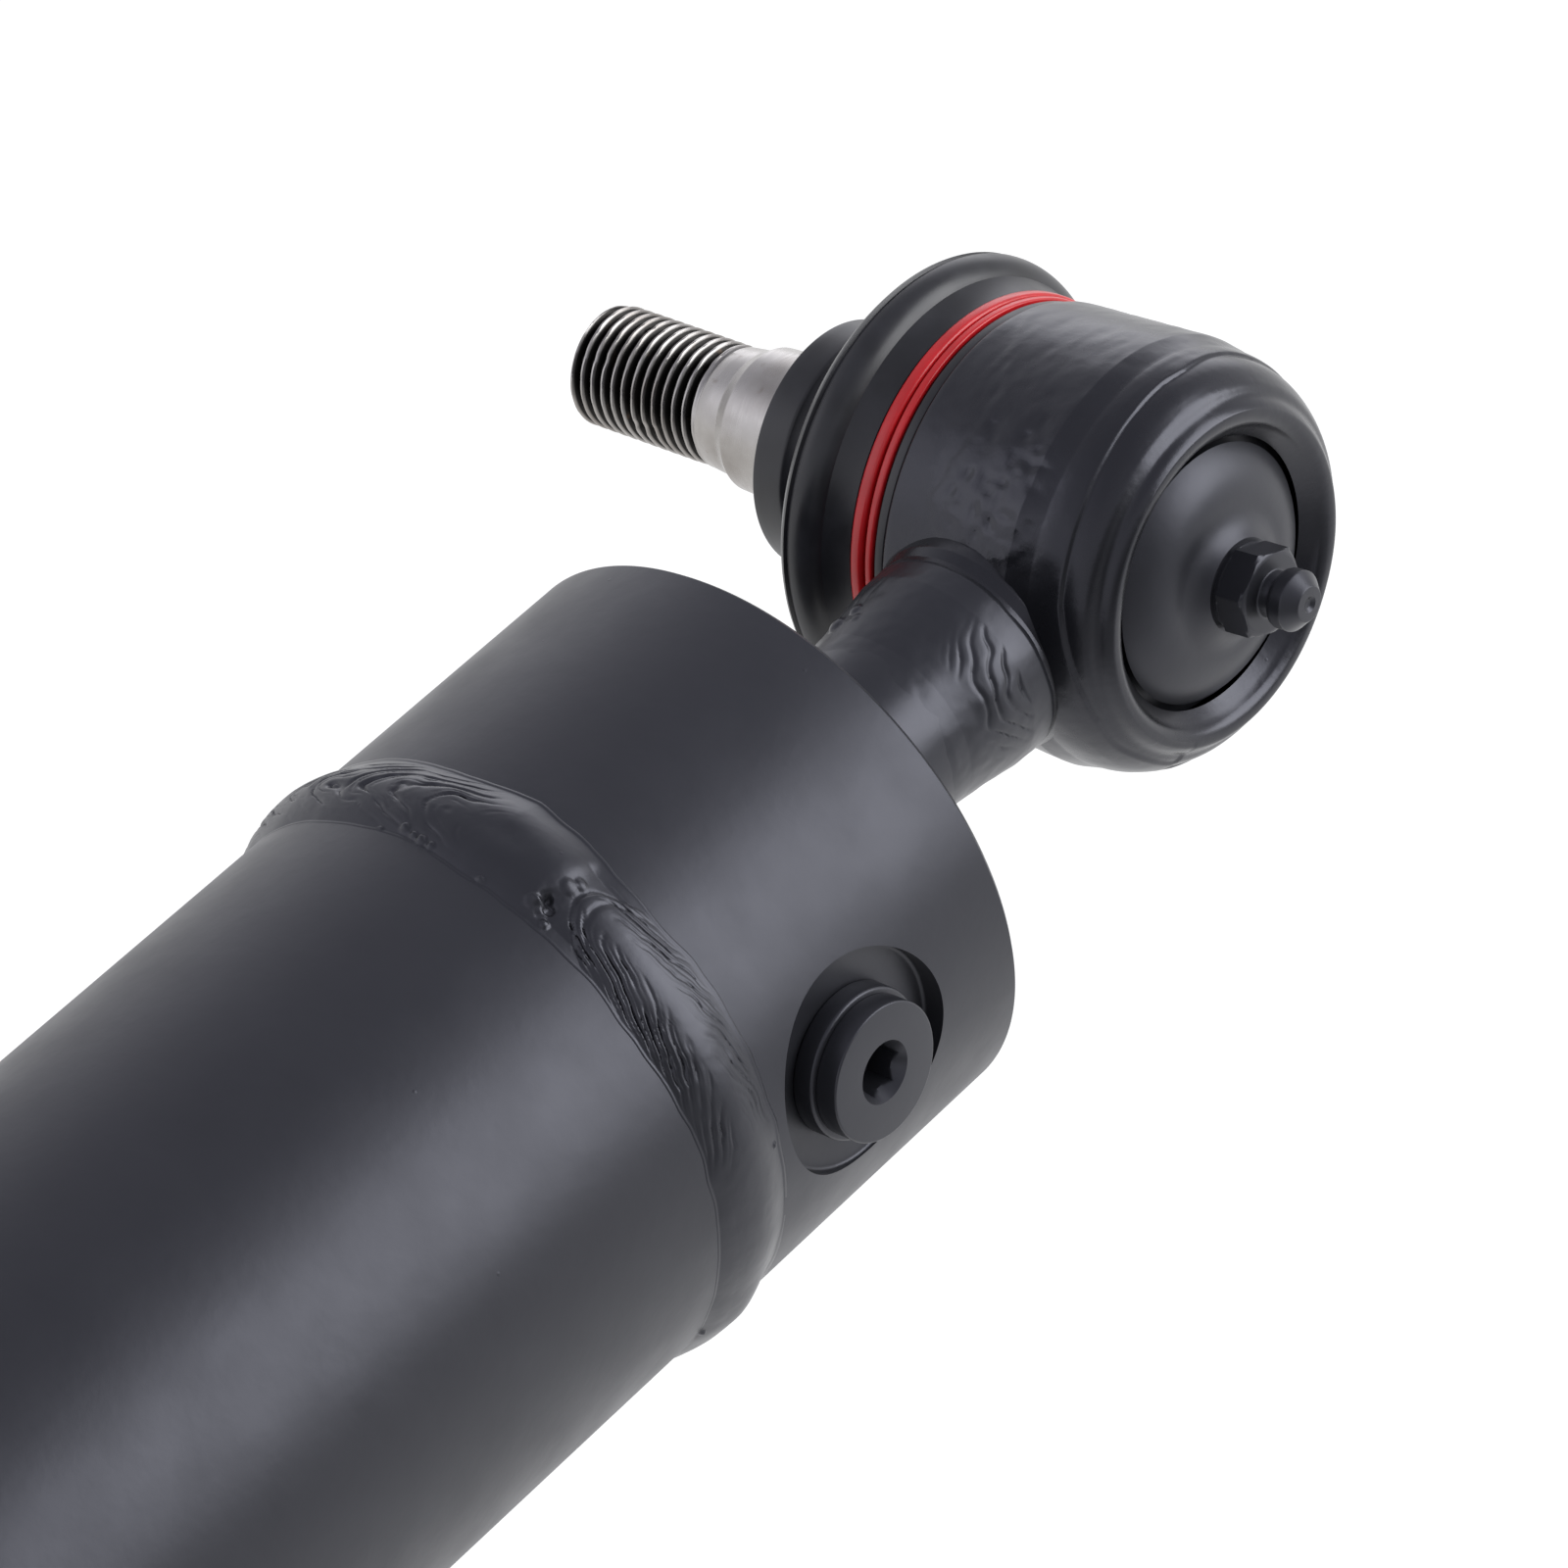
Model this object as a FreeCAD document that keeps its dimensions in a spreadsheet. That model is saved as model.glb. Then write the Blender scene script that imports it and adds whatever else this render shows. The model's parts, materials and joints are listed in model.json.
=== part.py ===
import FreeCAD, Part
import math
import os
import Sketcher
from FreeCAD import Placement, Rotation, Vector

# Hydraulic steering cylinder with a ball joint at each end, drawn in millimetres.
# The cylinder lies along X, from the base ball joint to the rod end. Both ball joints
# have their axis along Y: grease nipples on the +Y side, threaded studs on the -Y side.
# The oil ports also face +Y. Z is up. The origin is the middle of the base stud's thread,
# so the cylinder's axis is axis_height away from it, towards +Y.

doc = FreeCAD.newDocument("SteeringCylinder")
sheet = doc.addObject("Spreadsheet::Sheet", "Dims")

# Driving dimensions: alias, value, meaning. A value in words is worked out from others.
SIZES = [
    ("slip", 0.03, "radial play between pieces pressed, screwed or seated together"),
    ("run_play", 0.05, "radial play of a running fit"),
    ("soft_gap", 0.3, "room round rubber that another piece moves against"),
    ("edge_break", 0.6, "small edge chamfers"),

    ("bore_radius", 28.0, "barrel tube, inside"),
    ("tube_wall", 5.0, "barrel tube, wall"),
    ("tube_radius", "bore_radius + tube_wall", "barrel tube, outside"),
    ("tube_length", 324.3, "barrel tube, weld bevel to open end"),
    ("tube_start", "cap_weld_edge + weld_bevel + weld_root", "barrel tube, welded end along X"),
    ("tube_end", "tube_start + tube_length", "barrel tube, open end along X"),

    ("cap_step", 0.25, "base cap, outside past the tube's outside"),
    ("cap_radius", "tube_radius + cap_step", "base cap, outside"),
    ("stem_length", 30.6, "stem between housing boss and cap"),
    ("cap_face", "side_boss_end + stem_length", "base cap, outer end face along X"),
    ("cap_length", 35.9, "base cap, end face to weld bevel"),
    ("cap_weld_edge", "cap_face + cap_length", "base cap, start of the weld bevel along X"),
    ("spigot_length", 8.8, "base cap, spigot inside the tube"),
    ("cap_end", "cap_weld_edge + weld_bevel + spigot_length", "base cap, inner end along X"),
    ("weld_root", 3.0, "gap between cap and tube at the root of the weld"),
    ("weld_bevel", 3.2, "length of each weld bevel"),
    ("weld_lap", 1.2, "weld bead spread past each bevel"),
    ("weld_crown_radius", 13.6, "crown radius of the weld bead"),

    ("port_depth_in_cap", 23.4, "base port, distance from the cap's end face"),
    ("port_place", "cap_face + port_depth_in_cap", "base port, distance along X"),
    ("port_hole", 5.0, "port thread radius"),
    ("port_depth", 12.0, "port thread depth under its seat"),
    ("passage_radius", 3.5, "oil passage radius"),
    ("gallery_radius", 5.0, "gallery along the cap's axis"),
    ("spotface_margin", 3.84, "spotface past the washer"),
    ("spotface_radius", "washer_radius + spotface_margin", "spotface round the base port"),
    ("spotface_depth", 2.65, "spotface depth under the cap's crown"),
    ("cap_seat", "cap_radius - spotface_depth", "base port washer seat over the axis"),
    ("plug_collar_width", 2.44, "port plug collar past its thread"),
    ("plug_collar_radius", "port_hole + plug_collar_width", "port plug collar"),
    ("plug_collar_height", 2.6, "port plug collar"),
    ("plug_thread_length", 9.0, "port plug thread"),
    ("socket_flats", 5.0, "hex socket across flats"),
    ("socket_depth", 4.5, "hex socket depth"),
    ("socket_chamfer", 0.5, "countersink past the hex corners"),
    ("socket_slope", 0.5, "countersink, depth per radius"),
    ("washer_rim", 0.62, "sealing washer past the collar"),
    ("washer_radius", "plug_collar_radius + washer_rim", "sealing washer, outside"),
    ("washer_height", 2.5, "sealing washer"),
    ("cutter_room", 1.0, "how far a cut starts outside the surface"),

    ("boss_radius", 11.0, "head port boss"),
    ("boss_height", 12.0, "head port boss over the tube"),
    ("boss_top", "tube_radius + boss_height", "head port boss, height over the cylinder's axis"),
    ("boss_weld_leg", 3.0, "weld fillet round the boss"),

    ("stem_radius", 10.9, "stem between cap and base housing"),
    ("stem_weld_leg", 2.2, "weld fillet at the cap end of the stem"),
    ("neck_weld_length", 8.0, "weld between stem and housing boss"),
    ("neck_weld_rise", 1.4, "weld crown over the stem"),
    ("neck_weld_crown", 0.6, "place of that crown, as a part of the weld's length"),

    ("ball_radius", 13.5, "ball"),
    ("ball_flat_cut", 1.1, "flat on top of the ball, under the full ball"),
    ("ball_flat", "ball_radius - ball_flat_cut", "flat on top of the ball"),
    ("seat_wall", 3.0, "seats, from ball to housing"),
    ("seat_radius", "ball_radius + seat_wall", "seat bore in the housing"),
    ("lower_seat_rise", 5.5, "lower seat's foot over the ball's foot"),
    ("lower_seat_depth", "ball_radius - lower_seat_rise", "lower seat under the ball centre"),
    ("seat_split", 0.4, "gap between the two seats"),
    ("upper_seat_drop", 4.0, "upper seat's head under the ball's top"),
    ("upper_seat_height", "ball_radius - upper_seat_drop", "upper seat over the ball centre"),
    ("spring_thickness", 1.2, "disc spring"),
    ("spring_width", 6.0, "disc spring, from the seat bore inwards"),
    ("spring_bore", "seat_radius - spring_width", "disc spring, inside radius"),
    ("spring_play", 0.15, "disc spring to the seat bore"),
    ("cover_room", 0.3, "cover plate over the ball's flat"),
    ("cover_base", "ball_flat + cover_room", "underside of the cover plate"),
    ("cover_thickness", 2.37, "cover plate rim"),
    ("cover_top", "cover_base + cover_thickness", "top of the cover plate's rim"),
    ("cover_ledge", 1.8, "ledge in the housing that the cover plate rests on"),
    ("cover_radius", "seat_radius + cover_ledge", "cover plate pocket in the housing"),

    ("housing_wall", 6.4, "housing wall at the boot"),
    ("housing_rim_radius", "seat_radius + housing_wall", "ball joint housing at the boot"),
    ("housing_draft", 0.8, "housing, wider at the forged step"),
    ("housing_radius", "housing_rim_radius + housing_draft", "housing below the crimp"),
    ("housing_floor", 2.7, "lower seat's foot over the housing rim"),
    ("housing_rim", "lower_seat_depth + housing_floor", "housing rim under the ball centre"),
    ("shoulder_drop", 2.65, "forged step under the start of the crimp"),
    ("housing_shoulder", "crimp_start - shoulder_drop", "height of the forged step"),
    ("crimp_length", 8.25, "crimped lip, start to top"),
    ("crimp_start", "crimp_top - crimp_length", "height where the crimped lip starts"),
    ("crimp_step", 0.55, "crimped lip inside the forged step"),
    ("crimp_start_radius", "housing_radius - crimp_step", "radius where the crimped lip starts"),
    ("crimp_arc", 9.85, "outer roll of the crimped lip"),
    ("crimp_rise", 2.33, "crimped lip over the cover plate"),
    ("crimp_top", "cover_top + crimp_rise", "top of the outer roll"),
    ("crimp_turn", 0.3, "top of the roll past the cover plate's edge"),
    ("crimp_top_radius", "cover_radius + crimp_turn", "radius at the top of the outer roll"),
    ("crimp_hold", 2.5, "how far the lip reaches over the cover plate"),
    ("crimp_lip_radius", "cover_radius - crimp_hold", "inner edge of the crimped lip"),
    ("crimp_lip_slope", 0.4, "lip, wider at its top"),
    ("crimp_lip_drop", 1.0, "lip, top of its inner edge under the roll"),
    ("crimp_lip_arc", 1.9, "rounding of the lip"),
    ("spigot_step", 2.9, "boot spigot inside the housing rim"),
    ("spigot_radius", "housing_rim_radius - spigot_step", "housing spigot that carries the boot"),
    ("spigot_height", 5.5, "housing spigot"),
    ("spigot_bottom", "housing_rim + spigot_height", "housing spigot under the ball centre"),
    ("throat_play", 1.725, "housing mouth past the ball at the lower seat"),
    ("mouth_throat", "sqrt(ball_radius^2 - lower_seat_depth^2) + throat_play", "mouth at the seat"),
    ("mouth_flare", 1.6, "housing mouth, wider at the bottom"),
    ("mouth_radius", "mouth_throat + mouth_flare", "housing mouth at the bottom"),
    ("side_boss_step", 2.1, "side boss past the stem"),
    ("side_boss_radius", "stem_radius + side_boss_step", "side boss of the housing"),
    ("side_boss_length", 2.1, "side boss past the housing rim"),
    ("side_boss_end", "housing_rim_radius + side_boss_length", "side boss from the ball centre"),

    ("dome_ledge", 4.9, "flat rim of the cover plate"),
    ("dome_radius", "cover_radius - dome_ledge", "foot of the cover's dome"),
    ("dome_shoulder", 8.0, "radius where the dome turns hollow"),
    ("dome_shoulder_rise", 2.85, "height of that point over the plate"),
    ("dome_rise", 4.33, "height of the dome's top over the plate"),
    ("dome_top_ring", 1.2, "top of the dome past the nipple's thread"),
    ("dome_top_radius", "nipple_thread + dome_top_ring", "top of the dome"),
    ("dome_arc", 7.5, "outer arc of the dome"),
    ("dome_hollow_arc", 5.0, "hollow arc of the dome"),
    ("dome_wall", 2.0, "cover plate at the dome's top"),
    ("dome_inner_step", 1.2, "dome hollow inside the dome's foot"),
    ("dome_inner_radius", "dome_radius - dome_inner_step", "dome hollow at the underside"),

    ("nipple_thread", 4.0, "grease nipple thread radius"),
    ("nipple_reach", 4.8, "nipple thread under the dome's top"),
    ("nipple_shoulder", 0.5, "nipple collar past its thread"),
    ("nipple_collar", "nipple_thread + nipple_shoulder", "nipple collar radius"),
    ("nipple_collar_height", 0.6, "nipple collar"),
    ("nipple_flats", "nipple_collar * 2", "nipple hex across flats"),
    ("nipple_hex_height", 2.9, "nipple hex"),
    ("nipple_neck", 2.4, "nipple neck radius"),
    ("nipple_neck_height", 2.4, "nipple neck"),
    ("nipple_lip", 0.9, "nipple head past its neck"),
    ("nipple_head", "nipple_neck + nipple_lip", "nipple head radius"),
    ("nipple_undercut", 0.54, "slope under the nipple head"),
    ("nipple_head_height", 2.6, "nipple head"),
    ("nipple_cone_height", 1.6, "nipple cone"),
    ("nipple_cone_run", 1.4, "nipple cone, head to tip"),
    ("nipple_tip", "nipple_head - nipple_cone_run", "nipple tip radius"),
    ("nipple_dimple", 0.38, "hollow in the nipple's tip"),
    ("nipple_bore", 1.2, "grease passage radius"),

    ("stud_neck", 7.5, "stud neck radius"),
    ("stud_reach", 13.8, "top of the taper under the housing spigot"),
    ("taper_top", "spigot_bottom + stud_reach", "top of the taper under the ball centre"),
    ("taper_slope", 0.0482, "taper, radius per length"),
    ("taper_length", 16.6, "taper"),
    ("taper_top_radius", "taper_end_radius + taper_length * taper_slope", "taper radius at its top"),
    ("taper_end", "taper_top + taper_length", "lower end of the taper"),
    ("taper_shoulder", 1.2, "taper's lower end past the thread"),
    ("taper_end_radius", "thread_radius + taper_shoulder", "taper radius at its lower end"),
    ("taper_relief", 3.0, "run from the taper's top to the neck"),
    ("shank_run", 1.6, "run from the taper to the shank"),
    ("shank_top", "taper_end + shank_run", "shank under the taper"),
    ("shank_step", 0.3, "shank past the thread"),
    ("shank_radius", "thread_radius + shank_step", "shank radius"),
    ("shank_length", 3.0, "shank between taper and thread"),
    ("thread_top", "shank_top + shank_length", "upper end of the stud thread"),
    ("thread_radius", 7.0, "stud thread radius"),
    ("thread_relief", 0.25, "relief at the upper end of the thread"),
    ("thread_length", 19.8, "stud thread"),
    ("stud_tip", "thread_top + thread_length", "tip of the stud"),
    ("stud_chamfer", 1.1, "tip chamfer"),
    ("axis_height", "(thread_top + stud_tip - stud_chamfer)/2", "ball centres over the origin"),

    ("boot_wall", 1.7, "boot wall"),
    ("boot_play", 0.18, "boot to the housing rim"),
    ("boot_lip_rise", 1.0, "boot bead past the ring's groove"),
    ("boot_lip_height", 0.6, "boot bead beside the housing"),
    ("ring_groove_wall", 1.37, "rubber under the boot ring"),
    ("ring_seat_radius", "spigot_radius + slip + ring_groove_wall", "groove of the boot ring"),
    ("boot_lip_radius", "ring_seat_radius + boot_lip_rise", "boot bead beside the housing"),
    ("ring_height", 3.4, "boot ring, two turns"),
    ("ring_wire", 1.6, "boot ring, radial thickness"),
    ("ring_radius", "ring_seat_radius + ring_wire", "boot ring, outside"),
    ("ring_split", 0.36, "first turn, as a part of the ring's height"),
    ("ring_gap", 0.34, "gap between the turns"),
    ("ring_gap_depth", 0.72, "depth of that gap"),
    ("ring_edge", 0.2, "edge of the ring's wire"),
    ("ring_second_step", 0.15, "first turn inside the second"),
    ("bulge_reach", 0.9, "bulge centre past the ring's groove"),
    ("bulge_radius", "ring_seat_radius + bulge_reach", "centre of the boot's bulge"),
    ("bulge_drop", 5.1, "bulge centre under the housing spigot"),
    ("bulge_centre", "spigot_bottom + bulge_drop", "bulge under the ball centre"),
    ("bulge_arc", 3.0, "bulge rounding"),
    ("bulge_low_angle", 78.5, "bulge, from its equator to the waist, in degrees"),
    ("bulge_high_angle", 66.4, "bulge, from its equator to the ring, in degrees"),
    ("bulge_inner_angle", 72.0, "bulge hollow, each side of its equator, in degrees"),
    ("valley_hollow", 9.0, "hollow between bulge and ring"),
    ("valley_rise", 0.9, "start of that hollow past the ring's groove"),
    ("valley_edge", 0.2, "edge of the ring's groove"),
    ("waist_hollow", 4.0, "hollow of the boot's neck"),
    ("waist_step", 1.8, "boot neck past the ring inside it"),
    ("boot_waist_radius", "neck_ring_radius + waist_step", "boot neck above its collar"),
    ("waist_rise", 1.0, "boot neck over the taper's top"),
    ("boot_waist", "taper_top - waist_rise", "boot neck, under the ball centre"),
    ("collar_drop", 1.6, "collar's upper edge under the ring inside it"),
    ("collar_top", "neck_ring_place + collar_drop", "boot collar, upper edge"),
    ("collar_lip", 0.6, "upper edge of the collar, rounding"),
    ("collar_neck_run", 0.8, "run from the collar to the neck"),
    ("collar_wall", 3.4, "boot collar past the ring inside it"),
    ("collar_radius", "neck_ring_radius + collar_wall", "boot collar"),
    ("collar_draft", 0.2, "boot collar, narrower at its upper edge"),
    ("collar_edge", 0.3, "boot collar, outer edge"),
    ("collar_height", 3.2, "boot collar"),
    ("collar_end", "collar_top + collar_height", "boot collar, outer face"),
    ("neck_ring_play", 0.7, "ring inside the collar to the taper's top"),
    ("neck_ring_wall", 0.9, "ring inside the boot's collar"),
    ("neck_ring_radius", "taper_top_radius + neck_ring_play + neck_ring_wall", "that ring, outside"),
    ("neck_ring_height", 2.2, "ring inside the boot's collar"),
    ("neck_ring_drop", 2.0, "that ring under the taper's top"),
    ("neck_ring_place", "taper_top + neck_ring_drop", "ring, under the ball centre"),

    ("rod_radius", 14.0, "piston rod"),
    ("tail_seat_step", 4.0, "piston seat inside the rod"),
    ("tail_seat_radius", "rod_radius - tail_seat_step", "piston seat on the rod"),
    ("tail_thread_step", 1.0, "rod tail thread inside the piston seat"),
    ("tail_thread_radius", "tail_seat_radius - tail_thread_step", "rod tail thread"),
    ("piston_standoff", 23.5, "piston to cap, rod pulled in"),
    ("piston_start", "cap_end + piston_standoff", "piston, inner face along X, rod pulled in"),
    ("piston_length", 40.0, "piston"),
    ("piston_end", "piston_start + piston_length", "piston, outer face along X"),
    ("piston_play", 0.3, "piston to bore"),
    ("seal_groove_width", 8.2, "piston seal groove"),
    ("seal_groove_start", "(piston_length - seal_groove_width)/2", "seal groove from the piston's face"),
    ("seal_groove_depth", 5.5, "piston seal groove floor under the bore"),
    ("seal_groove_radius", "bore_radius - seal_groove_depth", "piston seal groove floor"),
    ("guide_groove_width", 6.2, "piston guide groove"),
    ("guide_groove_depth", 2.8, "piston guide groove floor under the bore"),
    ("guide_groove_radius", "bore_radius - guide_groove_depth", "piston guide groove floor"),
    ("guide_groove_edge", 4.0, "guide groove to the piston's face"),
    ("nut_height", 13.5, "piston nut"),
    ("nut_start", "piston_start - nut_height", "piston nut along X"),
    ("nut_wall", 6.0, "piston nut, thread to flats"),
    ("nut_flats", "(tail_thread_radius + nut_wall) * 2", "piston nut across flats"),
    ("tail_stand", 2.0, "rod tail past its nut"),
    ("rod_tail_start", "nut_start - tail_stand", "start of the rod's tail along X"),
    ("piston_oring_place", 12.0, "piston O-ring groove from the piston's face"),
    ("piston_oring_start", "piston_start + piston_oring_place", "piston O-ring groove along X"),
    ("piston_oring_width", 3.0, "piston O-ring groove"),
    ("piston_oring_section", 1.05, "piston O-ring, section radius"),

    ("gland_depth", 54.0, "gland, inner end to the tube's open end"),
    ("gland_start", "tube_end - gland_depth", "gland, inner end along X"),
    ("gland_nose_length", 14.0, "gland nose"),
    ("gland_nose_step", 4.0, "gland nose inside the bore"),
    ("gland_nose_radius", "bore_radius - gland_nose_step", "gland nose"),
    ("head_port_place", "gland_start + gland_nose_length/2", "head port, distance along X"),
    ("gland_seat_depth", 8.1, "retaining ring's face to the tube's open end"),
    ("gland_ring_seat", "tube_end - gland_seat_depth", "face that the retaining ring holds"),
    ("gland_step", 2.0, "gland outside the retaining ring, inside the bore"),
    ("gland_outer_step", "bore_radius - gland_step", "gland outside the retaining ring"),
    ("gland_recess", 0.5, "gland's outer face inside the tube's end"),
    ("gland_end", "tube_end - gland_recess", "gland, outer face along X"),
    ("gland_chamfer", 1.5, "gland, outer edge"),
    ("gland_bore_play", 0.3, "gland bore to rod"),
    ("guide_place", 17.0, "gland guide groove from the gland's inner end"),
    ("guide_start", "gland_start + guide_place", "gland guide groove along X"),
    ("guide_width", 10.0, "gland guide groove"),
    ("guide_depth", 2.6, "gland guide groove"),
    ("rod_seal_gap", 3.0, "guide groove to rod seal groove"),
    ("rod_seal_start", "guide_start + guide_width + rod_seal_gap", "rod seal groove along X"),
    ("rod_seal_width", 8.0, "rod seal groove"),
    ("rod_seal_depth", 4.8, "rod seal groove"),
    ("wiper_length", 6.0, "wiper seat"),
    ("wiper_start", "gland_end - wiper_length", "wiper seat along X"),
    ("wiper_depth", 4.5, "wiper seat"),
    ("wiper_lip", 2.5, "wiper lip past the gland"),
    ("wiper_edge", 0.6, "wiper lip thickness"),
    ("oring_place", 5.0, "gland O-ring groove from the gland's nose"),
    ("oring_groove_start", "gland_start + gland_nose_length + oring_place", "O-ring groove along X"),
    ("oring_groove_width", 4.0, "gland O-ring groove"),
    ("oring_section", 1.32, "gland O-ring, section radius"),
    ("snap_ring_width", 3.0, "retaining ring"),
    ("snap_ring_depth", 1.5, "retaining ring groove in the tube"),

    ("rod_showing", 42.0, "rod outside the tube, pulled in"),
    ("rod_end_face", "tube_end + rod_showing", "outer end of the rod along X"),
    ("rod_thread_wall", 5.8, "rod round its tapped bore"),
    ("rod_thread_radius", "rod_radius - rod_thread_wall", "tapped bore in the rod's end"),
    ("rod_thread_depth", 36.0, "tapped bore in the rod's end"),
    ("rod_thread_room", 2.0, "tapped bore past the rod end's thread"),
    ("shank_thread_length", "rod_thread_depth - rod_thread_room", "rod end's thread in the rod"),
    ("shank_neck_radius", "stem_radius", "rod end's shank beside the lock nut"),
    ("shank_slope", 7.0, "shank, side boss to neck"),
    ("shank_neck_start", "side_boss_end + shank_slope", "shank neck from the ball centre"),
    ("shank_neck_length", 4.0, "shank neck to the lock nut"),
    ("lock_nut_height", 10.0, "lock nut"),
    ("lock_nut_wall", 5.3, "lock nut, thread to flats"),
    ("lock_nut_flats", "(rod_thread_radius + lock_nut_wall) * 2", "lock nut across flats"),
    ("rod_end_reach", "shank_neck_start + shank_neck_length + lock_nut_height", "ball centre to rod"),
    ("closed_length", "rod_end_face + rod_end_reach", "ball centre to ball centre, pulled in"),
]

ALIASES = {alias for alias, value, meaning in SIZES}
for row, (alias, value, meaning) in enumerate(SIZES, start=1):
    sheet.set(f"A{row}", alias)
    sheet.setAlias(f"B{row}", alias)
    sheet.set(f"C{row}", meaning)
for row, (alias, value, meaning) in enumerate(SIZES, start=1):
    sheet.set(f"B{row}", f"={value}" if isinstance(value, str) else str(value))
doc.recompute()


def bound(formula):
    """The formula with every size name pointing at the sheet."""
    words = []
    word = ""
    for mark in str(formula) + " ":
        if mark.isalnum() or mark == "_":
            word += mark
            continue
        words.append("Dims." + word if word in ALIASES else word)
        words.append(mark)
        word = ""
    return "".join(words).strip()


def value_of(formula):
    """The number that a formula gives now."""
    found = sheet.evalExpression(bound(formula))
    return float(getattr(found, "Value", found))


def plane_of(body, role):
    for feature in body.Origin.OriginFeatures:
        if feature.Role == role:
            return feature
    raise RuntimeError("no plane " + role)


def new_body(label, place=None):
    body = doc.addObject("PartDesign::Body", label)
    body.Label = label
    put(body, place or {})
    return body


def put(item, place):
    """Place an object on the cylinder's axis, at a distance along X, half turned if asked."""
    if place.get("turned"):
        item.Placement = Placement(Vector(0, 0, 0), Rotation(Vector(0, 1, 0), 180))
    if place.get("lying"):
        item.Placement = Placement(Vector(0, 0, 0), Rotation(Vector(0, 1, 0), 90))
    if "x" in place:
        item.setExpression("Placement.Base.x", bound(place["x"]))
    item.setExpression("Placement.Base.y", bound("axis_height"))


def new_sketch(body, role, name, height=None):
    sketch = body.newObject("Sketcher::SketchObject", name)
    sketch.AttachmentSupport = [(plane_of(body, role), "")]
    sketch.MapMode = "FlatFace"
    if height is not None:
        sketch.setExpression("AttachmentOffset.Base.z", bound(height))
    return sketch


def bind(sketch, constraint, name, formula):
    number = sketch.addConstraint(constraint)
    sketch.renameConstraint(number, name)
    sketch.setExpression("Constraints." + name, bound(formula))


def arc_centre(start, end, radius, side):
    """Centre of the short arc from start to end, left of the way for side 1, right for -1."""
    middle = (start + end) * 0.5
    way = end - start
    half = way.Length / 2
    rise = math.sqrt(max(radius * radius - half * half, 0.0))
    left = Vector(-way.y, way.x, 0).normalize()
    return middle + left * rise * side


def draw_outline(sketch, corners):
    """A closed outline. A corner is (x, y) or (x, y, radius, side), each a formula.

    With a radius, an arc runs from the corner before it to this corner.
    """
    points = [Vector(value_of(corner[0]), value_of(corner[1]), 0) for corner in corners]
    pieces = []
    count = len(corners)
    for index in range(count):
        start = points[index]
        goal = (index + 1) % count
        end = points[goal]
        corner = corners[goal]
        if len(corner) == 2:
            number = sketch.addGeometry(Part.LineSegment(start, end))
            pieces.append((number, 1, 2))
            continue
        radius = value_of(corner[2])
        side = corner[3]
        centre = arc_centre(start, end, radius, side)
        first, last = (start, end) if side > 0 else (end, start)
        from_angle = math.atan2(first.y - centre.y, first.x - centre.x)
        to_angle = math.atan2(last.y - centre.y, last.x - centre.x)
        circle = Part.Circle(centre, Vector(0, 0, 1), radius)
        if to_angle < from_angle:
            to_angle += 2 * math.pi
        number = sketch.addGeometry(Part.ArcOfCircle(circle, from_angle, to_angle))
        pieces.append((number, 1, 2) if side > 0 else (number, 2, 1))
        bind(sketch, Sketcher.Constraint("Radius", number, radius), f"arc_{goal}", corner[2])
    for index in range(count):
        number, start_end, far_end = pieces[index]
        after, after_start, after_far = pieces[(index + 1) % count]
        sketch.addConstraint(Sketcher.Constraint("Coincident", number, far_end, after, after_start))
        x_text, y_text = corners[index][0], corners[index][1]
        across = Sketcher.Constraint("DistanceX", -1, 1, number, start_end, points[index].x)
        upward = Sketcher.Constraint("DistanceY", -1, 1, number, start_end, points[index].y)
        bind(sketch, across, f"x_{index}", x_text)
        bind(sketch, upward, f"y_{index}", y_text)


def turned(body, axis, corners, feature="PartDesign::Revolution", name="Turned"):
    """Turn an outline about X or Y. Corners are (along, radius) for X, (radius, height) for Y."""
    sketch = new_sketch(body, "XY_Plane", name + "Sketch")
    draw_outline(sketch, corners)
    turn = body.newObject(feature, name)
    turn.Profile = sketch
    turn.ReferenceAxis = (sketch, ["H_Axis" if axis == "X" else "V_Axis"])
    turn.Angle = 360
    return turn


def turned_piece(label, axis, corners, place=None):
    body = new_body(label, place)
    turned(body, axis, corners)
    return body


def ring_piece(label, centre_along, centre_radius, section):
    """A round ring about X."""
    body = new_body(label)
    sketch = new_sketch(body, "XY_Plane", "SectionSketch")
    centre = Vector(value_of(centre_along), value_of(centre_radius), 0)
    number = sketch.addGeometry(Part.Circle(centre, Vector(0, 0, 1), value_of(section)))
    bind(sketch, Sketcher.Constraint("Radius", number, value_of(section)), "section", section)
    across = Sketcher.Constraint("DistanceX", -1, 1, number, 3, centre.x)
    upward = Sketcher.Constraint("DistanceY", -1, 1, number, 3, centre.y)
    bind(sketch, across, "along", centre_along)
    bind(sketch, upward, "radius", centre_radius)
    turn = body.newObject("PartDesign::Revolution", "Turned")
    turn.Profile = sketch
    turn.ReferenceAxis = (sketch, ["H_Axis"])
    turn.Angle = 360
    return body


def cut_down(body, sketch, depth, name):
    """A pocket towards -Y that has to take material away."""
    doc.recompute()
    before = body.Shape.Volume
    pocket = body.newObject("PartDesign::Pocket", name)
    pocket.Profile = sketch
    pocket.Reversed = True
    pocket.setExpression("Length", bound(depth))
    doc.recompute()
    if not body.Shape.Volume < before - 0.01:
        raise RuntimeError(name + " cuts nothing")
    return pocket


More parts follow.
